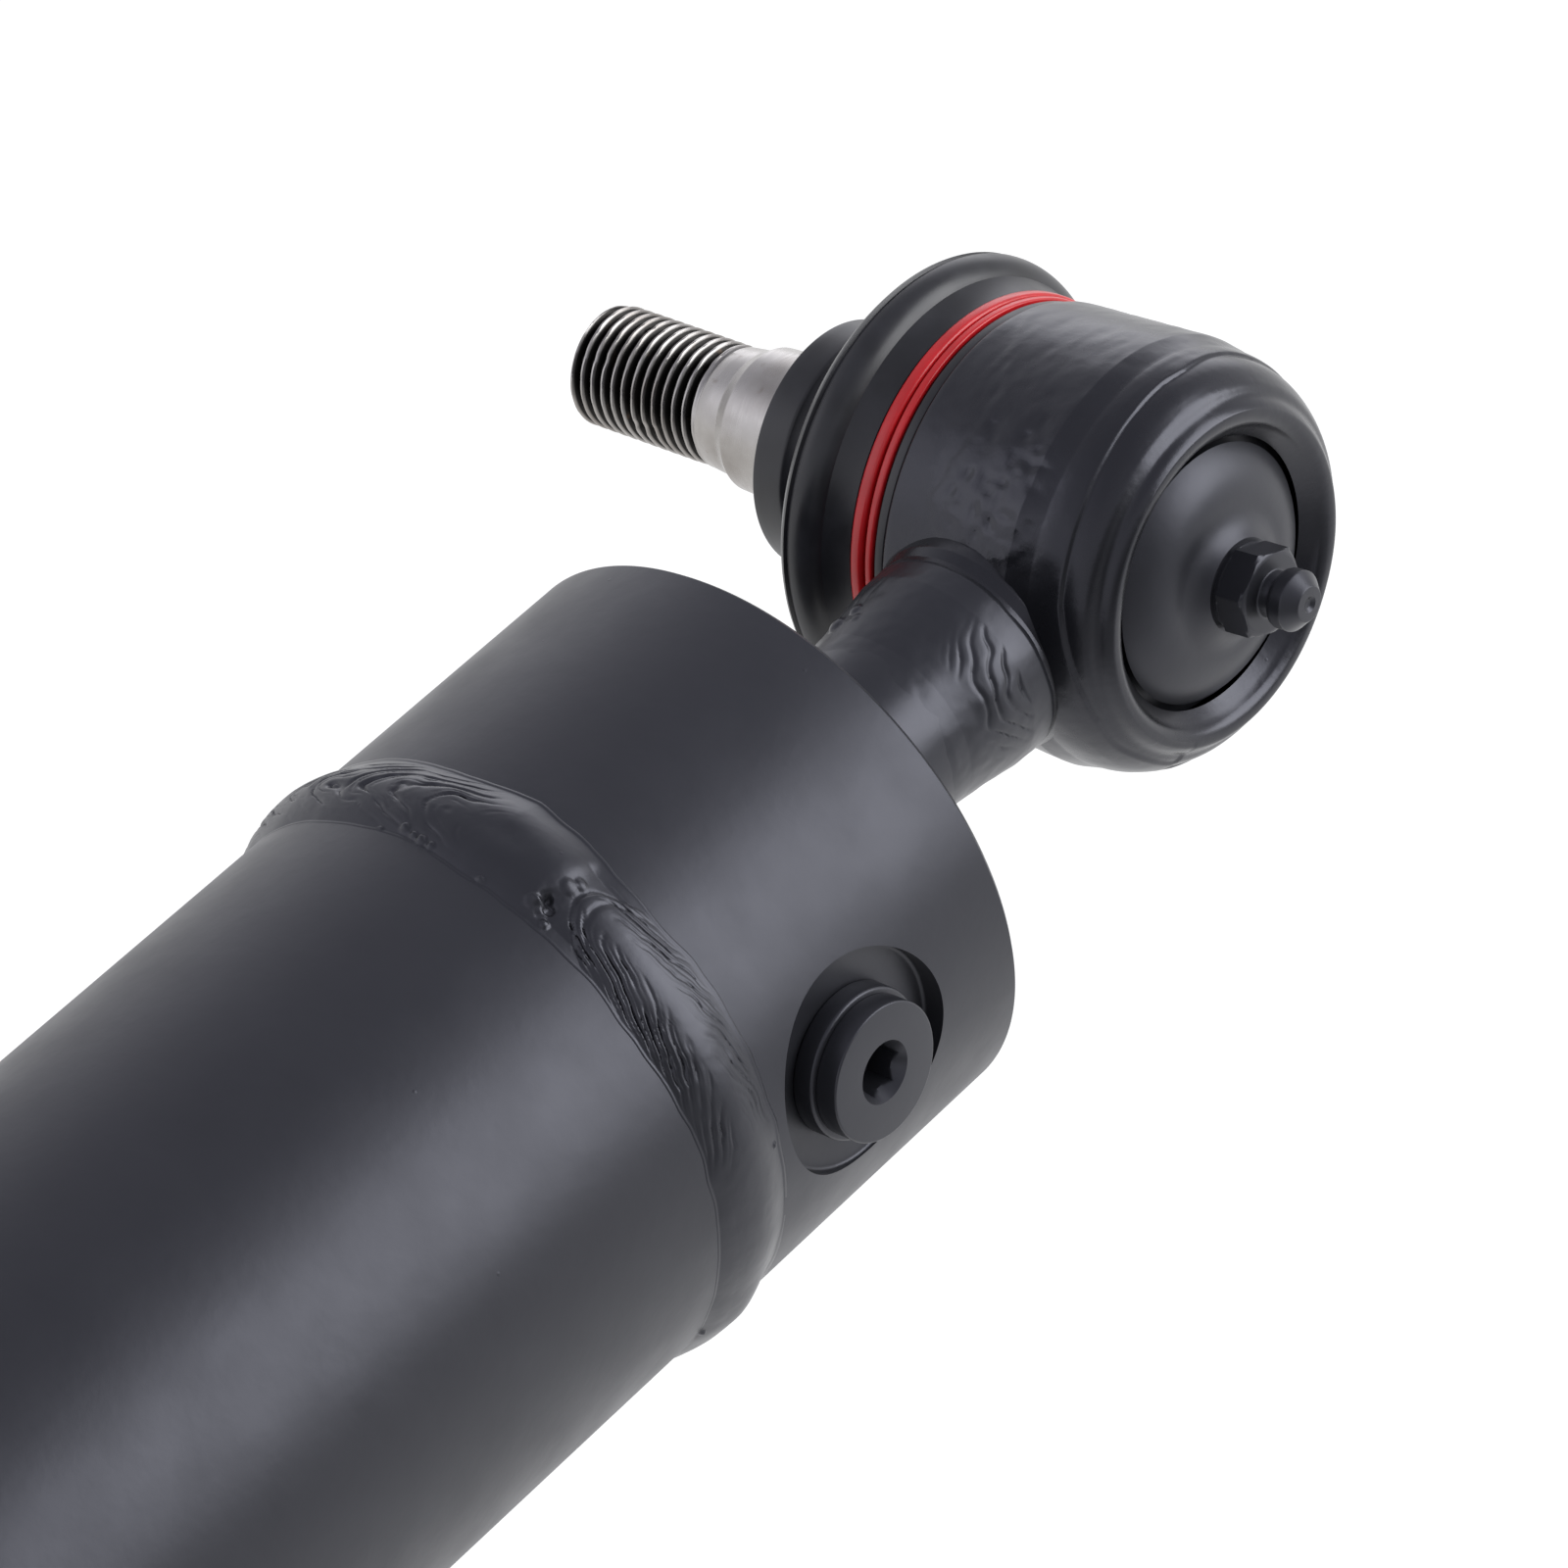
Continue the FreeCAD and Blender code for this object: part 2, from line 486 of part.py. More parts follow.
def drill(body, name, along, top, radius, depth):
    """A round hole down from the height top, at the distance along X."""
    sketch = new_sketch(body, "XZ_Plane", name + "Sketch", f"-({top})")
    number = sketch.addGeometry(
        Part.Circle(Vector(value_of(along), 0, 0), Vector(0, 0, 1), value_of(radius)))
    bind(sketch, Sketcher.Constraint("Radius", number, value_of(radius)), "radius", radius)
    bind(sketch, Sketcher.Constraint("DistanceX", -1, 1, number, 3, value_of(along)), "along", along)
    sketch.addConstraint(Sketcher.Constraint("PointOnObject", number, 3, -1))
    return cut_down(body, sketch, depth, name)


def hexagon(flats):
    """Corner formulas of a hexagon with the given width across flats."""
    return [
        (f"({flats})/sqrt(3)", "0"),
        (f"({flats})/sqrt(3)/2", f"({flats})/2"),
        (f"-({flats})/sqrt(3)/2", f"({flats})/2"),
        (f"-({flats})/sqrt(3)", "0"),
        (f"-({flats})/sqrt(3)/2", f"-({flats})/2"),
        (f"({flats})/sqrt(3)/2", f"-({flats})/2"),
    ]


def nut_piece(label, start, height, flats, hole, chamfer="edge_break * 3"):
    """A hexagon nut about X: a turned blank with chamfered ends, cut to six flats."""
    corner = f"({flats})/sqrt(3)"
    blank = new_body(label + "_blank")
    turned(blank, "X", [
        (start, hole),
        (f"{start} + {height}", hole),
        (f"{start} + {height}", f"{corner} - {chamfer}"),
        (f"{start} + {height} - {chamfer}/2", corner),
        (f"{start} + {chamfer}/2", corner),
        (start, f"{corner} - {chamfer}"),
    ])
    bar = doc.addObject("Part::Prism", label + "_bar")
    bar.Polygon = 6
    bar.setExpression("Circumradius", bound(corner))
    bar.setExpression("Height", bound(height))
    put(bar, {"x": start, "lying": True})
    nut = doc.addObject("Part::Common", label)
    nut.Label = label
    nut.Base = blank
    nut.Tool = bar
    return nut


def make_barrel_tube():
    outside = "tube_radius"
    ring_floor = "bore_radius + snap_ring_depth"
    ring_end = "gland_ring_seat + snap_ring_width + slip"
    body = turned_piece("barrel_tube", "X", [
        ("tube_start", "bore_radius"),
        ("gland_ring_seat", "bore_radius"),
        ("gland_ring_seat", ring_floor),
        (ring_end, ring_floor),
        (ring_end, "bore_radius"),
        ("tube_end - edge_break", "bore_radius"),
        ("tube_end", "bore_radius + edge_break"),
        ("tube_end", f"{outside} - edge_break"),
        ("tube_end - edge_break", outside),
        ("tube_start + weld_bevel", outside),
    ])
    drill(body, "HeadPort", "head_port_place", "boss_top", "port_hole", "boss_top")
    return body


def make_base_cap():
    spigot_start = "cap_weld_edge + weld_bevel"
    spigot = "bore_radius - slip"
    end = "cap_end"
    body = turned_piece("base_cap", "X", [
        ("cap_face", "0"),
        ("port_place - gallery_radius", "0"),
        ("port_place", "gallery_radius"),
        (end, "gallery_radius"),
        (end, f"{spigot} - edge_break"),
        (f"{end} - edge_break", spigot),
        (spigot_start, spigot),
        ("cap_weld_edge", "cap_radius"),
        ("cap_face + edge_break", "cap_radius"),
        ("cap_face", "cap_radius - edge_break"),
    ])
    drill(body, "Spotface", "port_place", "cap_radius + cutter_room", "spotface_radius",
          "spotface_depth + cutter_room")
    drill(body, "PortThread", "port_place", "cap_seat", "port_hole", "port_depth")
    passage_top = "cap_seat - port_depth + cutter_room"
    drill(body, "Passage", "port_place", passage_top, "passage_radius", passage_top)
    return body


def make_barrel_weld():
    """The girth weld that fills the groove between cap and tube."""
    root = "bore_radius + slip"
    far = "tube_start + weld_bevel"
    return turned_piece("barrel_weld", "X", [
        ("cap_weld_edge - weld_lap", "cap_radius", "weld_crown_radius", 1),
        ("cap_weld_edge", "cap_radius"),
        ("cap_weld_edge + weld_bevel", root),
        ("tube_start", root),
        (far, "tube_radius"),
        (f"{far} + weld_lap", "tube_radius"),
    ])


def make_plug(label, along, seat):
    """A screw plug with a collar and a hex socket, on its washer."""
    body = new_body(label, {"x": along})
    under = f"{seat} + washer_height"
    top = f"{under} + plug_collar_height"
    thread = "port_hole - slip"
    mouth = "socket_flats/sqrt(3) + socket_chamfer"
    turned(body, "Y", [
        ("0", f"{under} - plug_thread_length"),
        (f"{thread} - edge_break", f"{under} - plug_thread_length"),
        (thread, f"{under} - plug_thread_length + edge_break"),
        (thread, under),
        ("plug_collar_radius", under),
        ("plug_collar_radius", f"{top} - edge_break/2"),
        ("plug_collar_radius - edge_break/2", top),
        (mouth, top),
        ("0", f"{top} - ({mouth})*socket_slope"),
    ])
    sketch = new_sketch(body, "XZ_Plane", "SocketSketch", f"-({top})")
    draw_outline(sketch, hexagon("socket_flats"))
    cut_down(body, sketch, "socket_depth", "Socket")
    return body


def make_washer(label, along, seat):
    bevel = "edge_break/2"
    top = f"{seat} + washer_height"
    return turned_piece(label, "Y", [
        ("port_hole + slip", seat),
        (f"washer_radius - {bevel}", seat),
        ("washer_radius", f"{seat} + {bevel}"),
        ("washer_radius", f"{top} - {bevel}"),
        (f"washer_radius - {bevel}", top),
        ("port_hole + slip", top),
    ], {"x": along})


def make_head_port_boss():
    tube = doc.addObject("Part::Cylinder", "boss_saddle")
    tube.setExpression("Radius", bound("tube_radius"))
    tube.setExpression("Height", bound("boss_radius * 6"))
    put(tube, {"x": "head_port_place - boss_radius * 3", "lying": True})
    blank = turned_piece("boss_blank", "Y", [
        ("port_hole", "bore_radius"),
        ("boss_radius", "bore_radius"),
        ("boss_radius", "boss_top - edge_break"),
        ("boss_radius - edge_break", "boss_top"),
        ("port_hole", "boss_top"),
    ], {"x": "head_port_place"})
    boss = doc.addObject("Part::Cut", "head_port_boss")
    boss.Base = blank
    boss.Tool = tube
    fillet = turned_piece("boss_weld_blank", "Y", [
        ("boss_radius", "bore_radius"),
        ("boss_radius + boss_weld_leg", "bore_radius"),
        ("boss_radius + boss_weld_leg", "tube_radius"),
        ("boss_radius", "tube_radius + boss_weld_leg"),
    ], {"x": "head_port_place"})
    weld = doc.addObject("Part::Cut", "head_port_weld")
    weld.Base = fillet
    weld.Tool = tube
    return boss, weld


def make_base_stem():
    return turned_piece("base_stem", "X", [
        ("side_boss_end", "0"),
        ("cap_face", "0"),
        ("cap_face", "stem_radius"),
        ("side_boss_end", "stem_radius"),
    ])


def make_stem_welds():
    cap_weld = turned_piece("stem_cap_weld", "X", [
        ("cap_face - stem_weld_leg", "stem_radius"),
        ("cap_face", "stem_radius"),
        ("cap_face", "stem_radius + stem_weld_leg"),
    ])
    start = "side_boss_end"
    end = "side_boss_end + neck_weld_length"
    housing_weld = turned_piece("stem_housing_weld", "X", [
        (start, "stem_radius"),
        (end, "stem_radius"),
        (f"{start} + neck_weld_length*neck_weld_crown", "stem_radius + neck_weld_rise",
         "neck_weld_length", 1),
        (start, "side_boss_radius"),
    ])
    return cap_weld, housing_weld


def make_housing(label, place, shank):
    """The forged ball joint housing, turned about Y, with its side boss along X."""
    body = new_body(label, place)
    turned(body, "Y", [
        ("0", "-spigot_bottom"),
        ("spigot_radius", "-spigot_bottom"),
        ("spigot_radius", "-housing_rim"),
        ("housing_rim_radius", "-housing_rim"),
        ("housing_radius", "housing_shoulder"),
        ("crimp_start_radius", "crimp_start"),
        ("crimp_top_radius", "crimp_top", "crimp_arc", 1),
        ("crimp_lip_radius + crimp_lip_slope", "crimp_top - crimp_lip_drop", "crimp_lip_arc", 1),
        ("crimp_lip_radius", "cover_top + slip"),
        ("0", "cover_top + slip"),
    ], name="Forging")
    if shank:
        nut_face = "rod_end_reach - lock_nut_height"
        turned(body, "X", [
            ("0", "0"),
            ("rod_end_reach + shank_thread_length", "0"),
            ("rod_end_reach + shank_thread_length", "rod_thread_radius - slip"),
            (nut_face, "rod_thread_radius - slip"),
            (nut_face, "shank_neck_radius"),
            ("shank_neck_start", "shank_neck_radius"),
            ("side_boss_end", "side_boss_radius"),
            ("0", "side_boss_radius"),
        ], name="Shank")
    else:
        turned(body, "X", [
            ("0", "0"),
            ("side_boss_end", "0"),
            ("side_boss_end", "side_boss_radius"),
            ("0", "side_boss_radius"),
        ], name="SideBoss")
    reach = ("shank_neck_start" if shank else "side_boss_end") + " + cutter_room"
    low = "-spigot_bottom - cutter_room"
    turned(body, "Y", [
        ("spigot_radius", low),
        (reach, low),
        (reach, "-housing_rim"),
        ("spigot_radius", "-housing_rim"),
    ], feature="PartDesign::Groove", name="RimFace")
    doc.recompute()
    solid = body.Shape.Volume
    turned(body, "Y", [
        ("0", low),
        ("mouth_radius", low),
        ("mouth_radius", "-spigot_bottom"),
        ("mouth_throat", "-lower_seat_depth"),
        ("seat_radius", "-lower_seat_depth"),
        ("seat_radius", "cover_base"),
        ("cover_radius", "cover_base"),
        ("cover_radius", "cover_top + slip"),
        ("0", "cover_top + slip"),
    ], feature="PartDesign::Groove", name="Socket")
    doc.recompute()
    if not body.Shape.Volume < solid:
        raise RuntimeError(label + " is not hollowed")
    return body


def seat_piece(label, low, high, place):
    """A ring with a hollow that carries the ball, between two heights."""
    fit = "seat_radius - slip"
    bowl = "ball_radius + run_play"
    return turned_piece(label, "Y", [
        (f"sqrt(({bowl})^2 - ({low})^2)", low, bowl, -1),
        (fit, low),
        (fit, high),
        (f"sqrt(({bowl})^2 - ({high})^2)", high),
    ], place)


def make_joint_inside(prefix, place):
    """Seats, disc spring, cover plate and grease nipple of one ball joint."""
    seat_piece(prefix + "_lower_seat", "-lower_seat_depth", "-seat_split/2", place)
    seat_piece(prefix + "_upper_seat", "seat_split/2", "upper_seat_height", place)
    turned_piece(prefix + "_seat_spring", "Y", [
        ("spring_bore", "upper_seat_height"),
        ("spring_bore", "upper_seat_height + spring_thickness"),
        ("seat_radius - spring_play", "cover_base"),
        ("seat_radius - spring_play", "cover_base - spring_thickness"),
    ], place)
    plate = "cover_top"
    dome_top = "cover_top + dome_rise"
    hole = "nipple_thread + slip"
    turned_piece(prefix + "_cover_plate", "Y", [
        ("cover_radius - slip", "cover_base"),
        ("cover_radius - slip", plate),
        ("dome_radius", plate),
        ("dome_shoulder", f"{plate} + dome_shoulder_rise", "dome_arc", 1),
        ("dome_top_radius", dome_top, "dome_hollow_arc", -1),
        (hole, dome_top),
        (hole, f"{dome_top} - dome_wall"),
        ("dome_top_radius", f"{dome_top} - dome_wall"),
        ("dome_inner_radius", "cover_base"),
    ], place)
    make_nipple(prefix + "_grease_nipple", dome_top, place)


def make_nipple(label, foot, place):
    """A grease nipple: thread, collar, hexagon, neck and coned head."""
    body = new_body(label, place)
    hex_foot = f"{foot} + nipple_collar_height"
    hex_top = f"{hex_foot} + nipple_hex_height"
    head_foot = f"{hex_top} + nipple_neck_height"
    head_top = f"{head_foot} + nipple_head_height"
    tip = f"{head_top} + nipple_cone_height"
    turned(body, "Y", [
        ("0", f"{foot} - nipple_reach"),
        ("nipple_thread", f"{foot} - nipple_reach"),
        ("nipple_thread", foot),
        ("nipple_collar", foot),
        ("nipple_collar", hex_top),
        ("nipple_neck", hex_top),
        ("nipple_neck", f"{head_foot} - nipple_undercut"),
        ("nipple_head", head_foot),
        ("nipple_head", head_top),
        ("nipple_tip", tip),
        ("nipple_tip/2", tip),
        ("0", f"{tip} - nipple_dimple"),
    ])
    sketch = new_sketch(body, "XZ_Plane", "HexSketch", f"-({hex_top})")
    draw_outline(sketch, hexagon("nipple_flats"))
    pad = body.newObject("PartDesign::Pad", "Hexagon")
    pad.Profile = sketch
    pad.setExpression("Length", bound("nipple_hex_height"))
    doc.recompute()
    turned(body, "Y", [
        ("0", f"{foot} - nipple_reach - cutter_room"),
        ("nipple_bore", f"{foot} - nipple_reach - cutter_room"),
        ("nipple_bore", head_top),
        ("0", head_top),
    ], feature="PartDesign::Groove", name="GreasePassage")
    return body


def make_boot(label, place):
    """The rubber boot from the housing's spigot to the collar on the stud's taper."""
    inside = "spigot_radius + slip"
    ring_top = "housing_rim + boot_lip_height + boot_play"
    ring_low = f"{ring_top} + ring_height + slip * 2"
    hole_out = "taper_top_radius - (collar_end - taper_top)*taper_slope + soft_gap"
    neck_top = "neck_ring_place - neck_ring_height/2 - soft_gap"
    neck_low = "neck_ring_place + neck_ring_height/2 + soft_gap"
    groove = "neck_ring_radius + soft_gap"
    thin = "bulge_arc - boot_wall"
    inner_run = f"({thin})*cos(bulge_inner_angle)"
    inner_rise = f"({thin})*sin(bulge_inner_angle)"
    return turned_piece(label, "Y", [
        (inside, "-housing_rim - boot_play"),
        (inside, "-spigot_bottom + boot_play"),
        (f"bulge_radius + {inner_run}", f"-bulge_centre + {inner_rise}"),
        (f"bulge_radius + {inner_run}", f"-bulge_centre - {inner_rise}", f"({thin})", -1),
        ("boot_waist_radius - boot_wall", "-boot_waist + boot_wall"),
        (groove, f"-({neck_top})"),
        (groove, f"-({neck_low})"),
        (hole_out, f"-({neck_low})"),
        (hole_out, "-collar_end"),
        ("collar_radius - collar_edge", "-collar_end"),
        ("collar_radius", "-collar_end + collar_edge"),
        ("collar_radius - collar_draft", "-collar_top - collar_lip"),
        ("boot_waist_radius", "-collar_top + collar_neck_run"),
        ("boot_waist_radius", "-boot_waist", "waist_hollow", -1),
        ("bulge_radius + bulge_arc*cos(bulge_low_angle)",
         "-bulge_centre - bulge_arc*sin(bulge_low_angle)"),
        ("bulge_radius + bulge_arc*cos(bulge_high_angle)",
         "-bulge_centre + bulge_arc*sin(bulge_high_angle)", "bulge_arc", 1),
        ("ring_seat_radius + valley_rise", f"-({ring_low}) - collar_edge", "valley_hollow", -1),
        ("ring_seat_radius + valley_edge", f"-({ring_low})"),
        ("ring_seat_radius", f"-({ring_low})"),
        ("ring_seat_radius", f"-({ring_top})"),
        ("boot_lip_radius", f"-({ring_top})"),
        ("boot_lip_radius", "-housing_rim - boot_play"),
    ], place)


def make_boot_ring(label, place):
    """The wound flat wire round the boot: two turns with a fine gap between them."""
    inside = "ring_seat_radius + slip"
    top = "housing_rim + boot_lip_height + boot_play + slip"
    split = f"{top} + ring_height*ring_split"
    bottom = f"{top} + ring_height"
    first = "ring_radius - ring_second_step"
    return turned_piece(label, "Y", [
        (inside, f"-({top})"),
        (inside, f"-({bottom})"),
        ("ring_radius - ring_edge", f"-({bottom})"),
        ("ring_radius", f"-({bottom}) + ring_edge"),
        ("ring_radius", f"-({split}) - ring_gap"),
        ("ring_radius - ring_gap_depth", f"-({split}) - ring_gap/2"),
        (first, f"-({split})"),
        (first, f"-({top}) - ring_edge"),
        (f"{first} - ring_edge", f"-({top})"),
    ], place)


def make_neck_ring(label, place):
    """The steel ring inside the boot's collar, which turns round the stud with it."""
    return turned_piece(label, "Y", [
        ("neck_ring_radius - neck_ring_wall", "-neck_ring_place - neck_ring_height/2"),
        ("neck_ring_radius", "-neck_ring_place - neck_ring_height/2"),
        ("neck_ring_radius", "-neck_ring_place + neck_ring_height/2"),
        ("neck_ring_radius - neck_ring_wall", "-neck_ring_place + neck_ring_height/2"),
    ], place)


def make_ball_stud(label, place):
    """One forging: ball, neck, taper and threaded end."""
    return turned_piece(label, "Y", [
        ("0", "-stud_tip"),
        ("thread_radius - stud_chamfer", "-stud_tip"),
        ("thread_radius", "-stud_tip + stud_chamfer"),
        ("thread_radius", "-thread_top"),
        ("thread_radius - thread_relief", "-thread_top + thread_relief"),
        ("shank_radius", "-shank_top"),
        ("taper_end_radius", "-taper_end"),
        ("taper_top_radius", "-taper_top"),
        ("stud_neck", "-taper_top + taper_relief"),
        ("stud_neck", "-sqrt(ball_radius^2 - stud_neck^2)"),
        ("sqrt(ball_radius^2 - ball_flat^2)", "ball_flat", "ball_radius", 1),
        ("0", "ball_flat"),
    ], place)


def make_ball_joint(prefix, place, shank):
    make_housing(prefix + "_housing", place, shank)
    make_joint_inside(prefix, place)
    make_boot(prefix + "_boot", place)
    make_boot_ring(prefix + "_boot_ring", place)
    make_neck_ring(prefix + "_neck_ring", place)
    make_ball_stud(prefix + "_ball_stud", place)


def make_gland():
    bore = "rod_radius + gland_bore_play"
    outside = "bore_radius - slip"
    nose_end = "gland_start + gland_nose_length"
    groove_floor = "bore_radius - oring_section * 2 - slip"
    turned_piece("gland", "X", [
        ("gland_start", bore),
        ("guide_start", bore),
        ("guide_start", "rod_radius + guide_depth"),
        ("guide_start + guide_width", "rod_radius + guide_depth"),
        ("guide_start + guide_width", bore),
        ("rod_seal_start", bore),
        ("rod_seal_start", "rod_radius + rod_seal_depth"),
        ("rod_seal_start + rod_seal_width", "rod_radius + rod_seal_depth"),
        ("rod_seal_start + rod_seal_width", bore),
        ("wiper_start", bore),
        ("wiper_start", "rod_radius + wiper_depth"),
        ("gland_end", "rod_radius + wiper_depth"),
        ("gland_end", "gland_outer_step - gland_chamfer"),
        ("gland_end - gland_chamfer", "gland_outer_step"),
        ("gland_ring_seat", "gland_outer_step"),
        ("gland_ring_seat", outside),
        ("oring_groove_start + oring_groove_width", outside),
        ("oring_groove_start + oring_groove_width", groove_floor),
        ("oring_groove_start", groove_floor),
        ("oring_groove_start", outside),
        (nose_end, outside),
        (nose_end, "gland_nose_radius"),
        ("gland_start", "gland_nose_radius"),
    ])
    ring_piece("gland_oring", "oring_groove_start + oring_groove_width/2",
               "bore_radius - oring_section - slip/2", "oring_section")
    turned_piece("gland_guide_ring", "X", [
        ("guide_start + slip", "rod_radius + run_play"),
        ("guide_start + guide_width - slip", "rod_radius + run_play"),
        ("guide_start + guide_width - slip", "rod_radius + guide_depth - slip"),
        ("guide_start + slip", "rod_radius + guide_depth - slip"),
    ])
    turned_piece("rod_seal", "X", [
        ("rod_seal_start + slip", "rod_radius + run_play"),
        ("rod_seal_start + rod_seal_width - slip", "rod_radius + run_play * 4"),
        ("rod_seal_start + rod_seal_width - slip", "rod_radius + rod_seal_depth - slip"),
        ("rod_seal_start + slip", "rod_radius + rod_seal_depth - slip"),
        ("rod_seal_start + slip", "rod_radius + rod_seal_depth*0.7"),
        ("rod_seal_start + rod_seal_width*0.4", "rod_radius + rod_seal_depth*0.5"),
        ("rod_seal_start + slip", "rod_radius + rod_seal_depth*0.3"),
    ])
    turned_piece("wiper_seal", "X", [
        ("wiper_start + slip", "rod_radius + run_play * 6"),
        ("gland_end", "rod_radius + run_play * 6"),
        ("gland_end + wiper_lip", "rod_radius + run_play"),
        ("gland_end + wiper_lip", "rod_radius + wiper_edge"),
        ("gland_end + wiper_lip*0.4", "rod_radius + wiper_depth*0.6"),
        ("gland_end", "rod_radius + wiper_depth - slip"),
        ("wiper_start + slip", "rod_radius + wiper_depth - slip"),
    ])
    turned_piece("gland_retaining_ring", "X", [
        ("gland_ring_seat + slip", "gland_outer_step + slip * 2"),
        ("gland_ring_seat + snap_ring_width", "gland_outer_step + slip * 2"),
        ("gland_ring_seat + snap_ring_width", "bore_radius + snap_ring_depth - slip"),
        ("gland_ring_seat + slip", "bore_radius + snap_ring_depth - slip"),
    ])


def piston_grooves():
    """Start, width and floor of each groove round the piston."""
    far = "piston_end - guide_groove_edge - guide_groove_width"
    return [
        ("piston_start + guide_groove_edge", "guide_groove_width", "guide_groove_radius"),
        ("piston_start + seal_groove_start", "seal_groove_width", "seal_groove_radius"),
        (far, "guide_groove_width", "guide_groove_radius"),
    ]


def make_piston():
    outside = "bore_radius - piston_play"
    bore = "tail_seat_radius + slip"
    end = "piston_end"
    oring_floor = "tail_seat_radius + piston_oring_section * 2 + slip * 2"
    outline = [
        ("piston_start", bore),
        ("piston_start", f"{outside} - edge_break"),
        ("piston_start + edge_break", outside),
    ]
    for start, width, floor in piston_grooves():
        outline += [(start, outside), (start, floor)]
        outline += [(f"{start} + {width}", floor), (f"{start} + {width}", outside)]
    outline += [
        (f"{end} - edge_break", outside),
        (end, f"{outside} - edge_break"),
        (end, bore),
        ("piston_oring_start + piston_oring_width", bore),
        ("piston_oring_start + piston_oring_width", oring_floor),
        ("piston_oring_start", oring_floor),
        ("piston_oring_start", bore),
    ]
    turned_piece("piston", "X", outline[::-1])
    names = ["piston_guide_ring_inner", "piston_seal", "piston_guide_ring_outer"]
    for name, (start, width, floor) in zip(names, piston_grooves()):
        turned_piece(name, "X", [
            (f"{start} + run_play", f"{floor} + run_play"),
            (f"{start} + {width} - run_play", f"{floor} + run_play"),
            (f"{start} + {width} - run_play", "bore_radius - run_play"),
            (f"{start} + run_play", "bore_radius - run_play"),
        ])
    ring_piece("piston_oring", "piston_oring_start + piston_oring_width/2",
               "tail_seat_radius + piston_oring_section + slip", "piston_oring_section")
    nut_piece("piston_nut", "nut_start", "nut_height", "nut_flats",
              "tail_thread_radius + slip")


def make_rod():
    tail_end = "piston_start + edge_break"
    seat_end = "piston_end"
    bore_end = "rod_end_face - rod_thread_depth"
    turned_piece("piston_rod", "X", [
        ("rod_tail_start", "0"),
        (f"{bore_end} - rod_thread_radius*0.4", "0"),
        (bore_end, "rod_thread_radius"),
        ("rod_end_face", "rod_thread_radius"),
        ("rod_end_face", "rod_radius - edge_break"),
        ("rod_end_face - edge_break", "rod_radius"),
        (seat_end, "rod_radius"),
        (seat_end, "tail_seat_radius"),
        (tail_end, "tail_seat_radius"),
        (tail_end, "tail_thread_radius"),
        ("rod_tail_start + edge_break", "tail_thread_radius"),
        ("rod_tail_start", "tail_thread_radius - edge_break"),
    ][::-1])
    nut_piece("rod_lock_nut", "rod_end_face", "lock_nut_height", "lock_nut_flats",
              "rod_thread_radius")


NODES = [
    "barrel_tube", "base_cap", "barrel_weld", "base_stem", "stem_cap_weld", "stem_housing_weld",
    "base_port_plug", "base_port_washer", "head_port_boss", "head_port_weld", "head_port_plug",
    "head_port_washer", "gland", "gland_oring", "gland_guide_ring", "rod_seal", "wiper_seal",
    "gland_retaining_ring", "piston", "piston_guide_ring_inner", "piston_seal",
    "piston_guide_ring_outer", "piston_oring", "piston_nut", "piston_rod", "rod_lock_nut",
]
JOINT_PIECES = [
    "housing", "lower_seat", "upper_seat", "seat_spring", "cover_plate", "grease_nipple", "boot",
    "boot_ring", "neck_ring", "ball_stud",
]
for prefix in ("base", "rod_end"):
    NODES += [prefix + "_" + name for name in JOINT_PIECES]


def build_all():
    make_barrel_tube()
    make_base_cap()
    make_barrel_weld()
    make_base_stem()
    make_stem_welds()
    make_plug("base_port_plug", "port_place", "cap_seat")
    make_washer("base_port_washer", "port_place", "cap_seat")
    make_head_port_boss()
    make_plug("head_port_plug", "head_port_place", "boss_top")
    make_washer("head_port_washer", "head_port_place", "boss_top")
    make_gland()
    make_piston()
    make_rod()
    make_ball_joint("base", {}, shank=False)
    make_ball_joint("rod_end", {"x": "closed_length", "turned": True}, shank=True)
    doc.recompute()


def check_all():
    """Stop if any object failed or any piece is not one or more valid solids."""
    for item in doc.Objects:
        if "Invalid" in item.State or "Error" in item.State:
            raise RuntimeError(f"{item.Label}: {item.State}")
    for name in NODES:
        shape = doc.getObject(name).Shape
        if shape.isNull() or not shape.isValid() or not shape.Solids:
            raise RuntimeError(name + " has no valid shape")


def write_all():
    os.makedirs("parts", exist_ok=True)
    for name in NODES:
        shape = doc.getObject(name).Shape
        shape.exportStep(f"parts/{name}.step")
        box = shape.BoundBox
        print(f"{name}: solids {len(shape.Solids)}, volume {shape.Volume:.1f}, "
              f"x {box.XMin:.2f} to {box.XMax:.2f}, y {box.YMin:.2f} to {box.YMax:.2f}, "
              f"z {box.ZMin:.2f} to {box.ZMax:.2f}")


build_all()
check_all()
write_all()
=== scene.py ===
"""Hydraulic steering cylinder with two ball joints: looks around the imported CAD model.

Every size is in millimetres from a ball centre or along the cylinder, as in the CAD.
"""
from functools import partial
import json
import math

import bmesh
import bpy
import numpy as np
from mathutils import Matrix, Vector


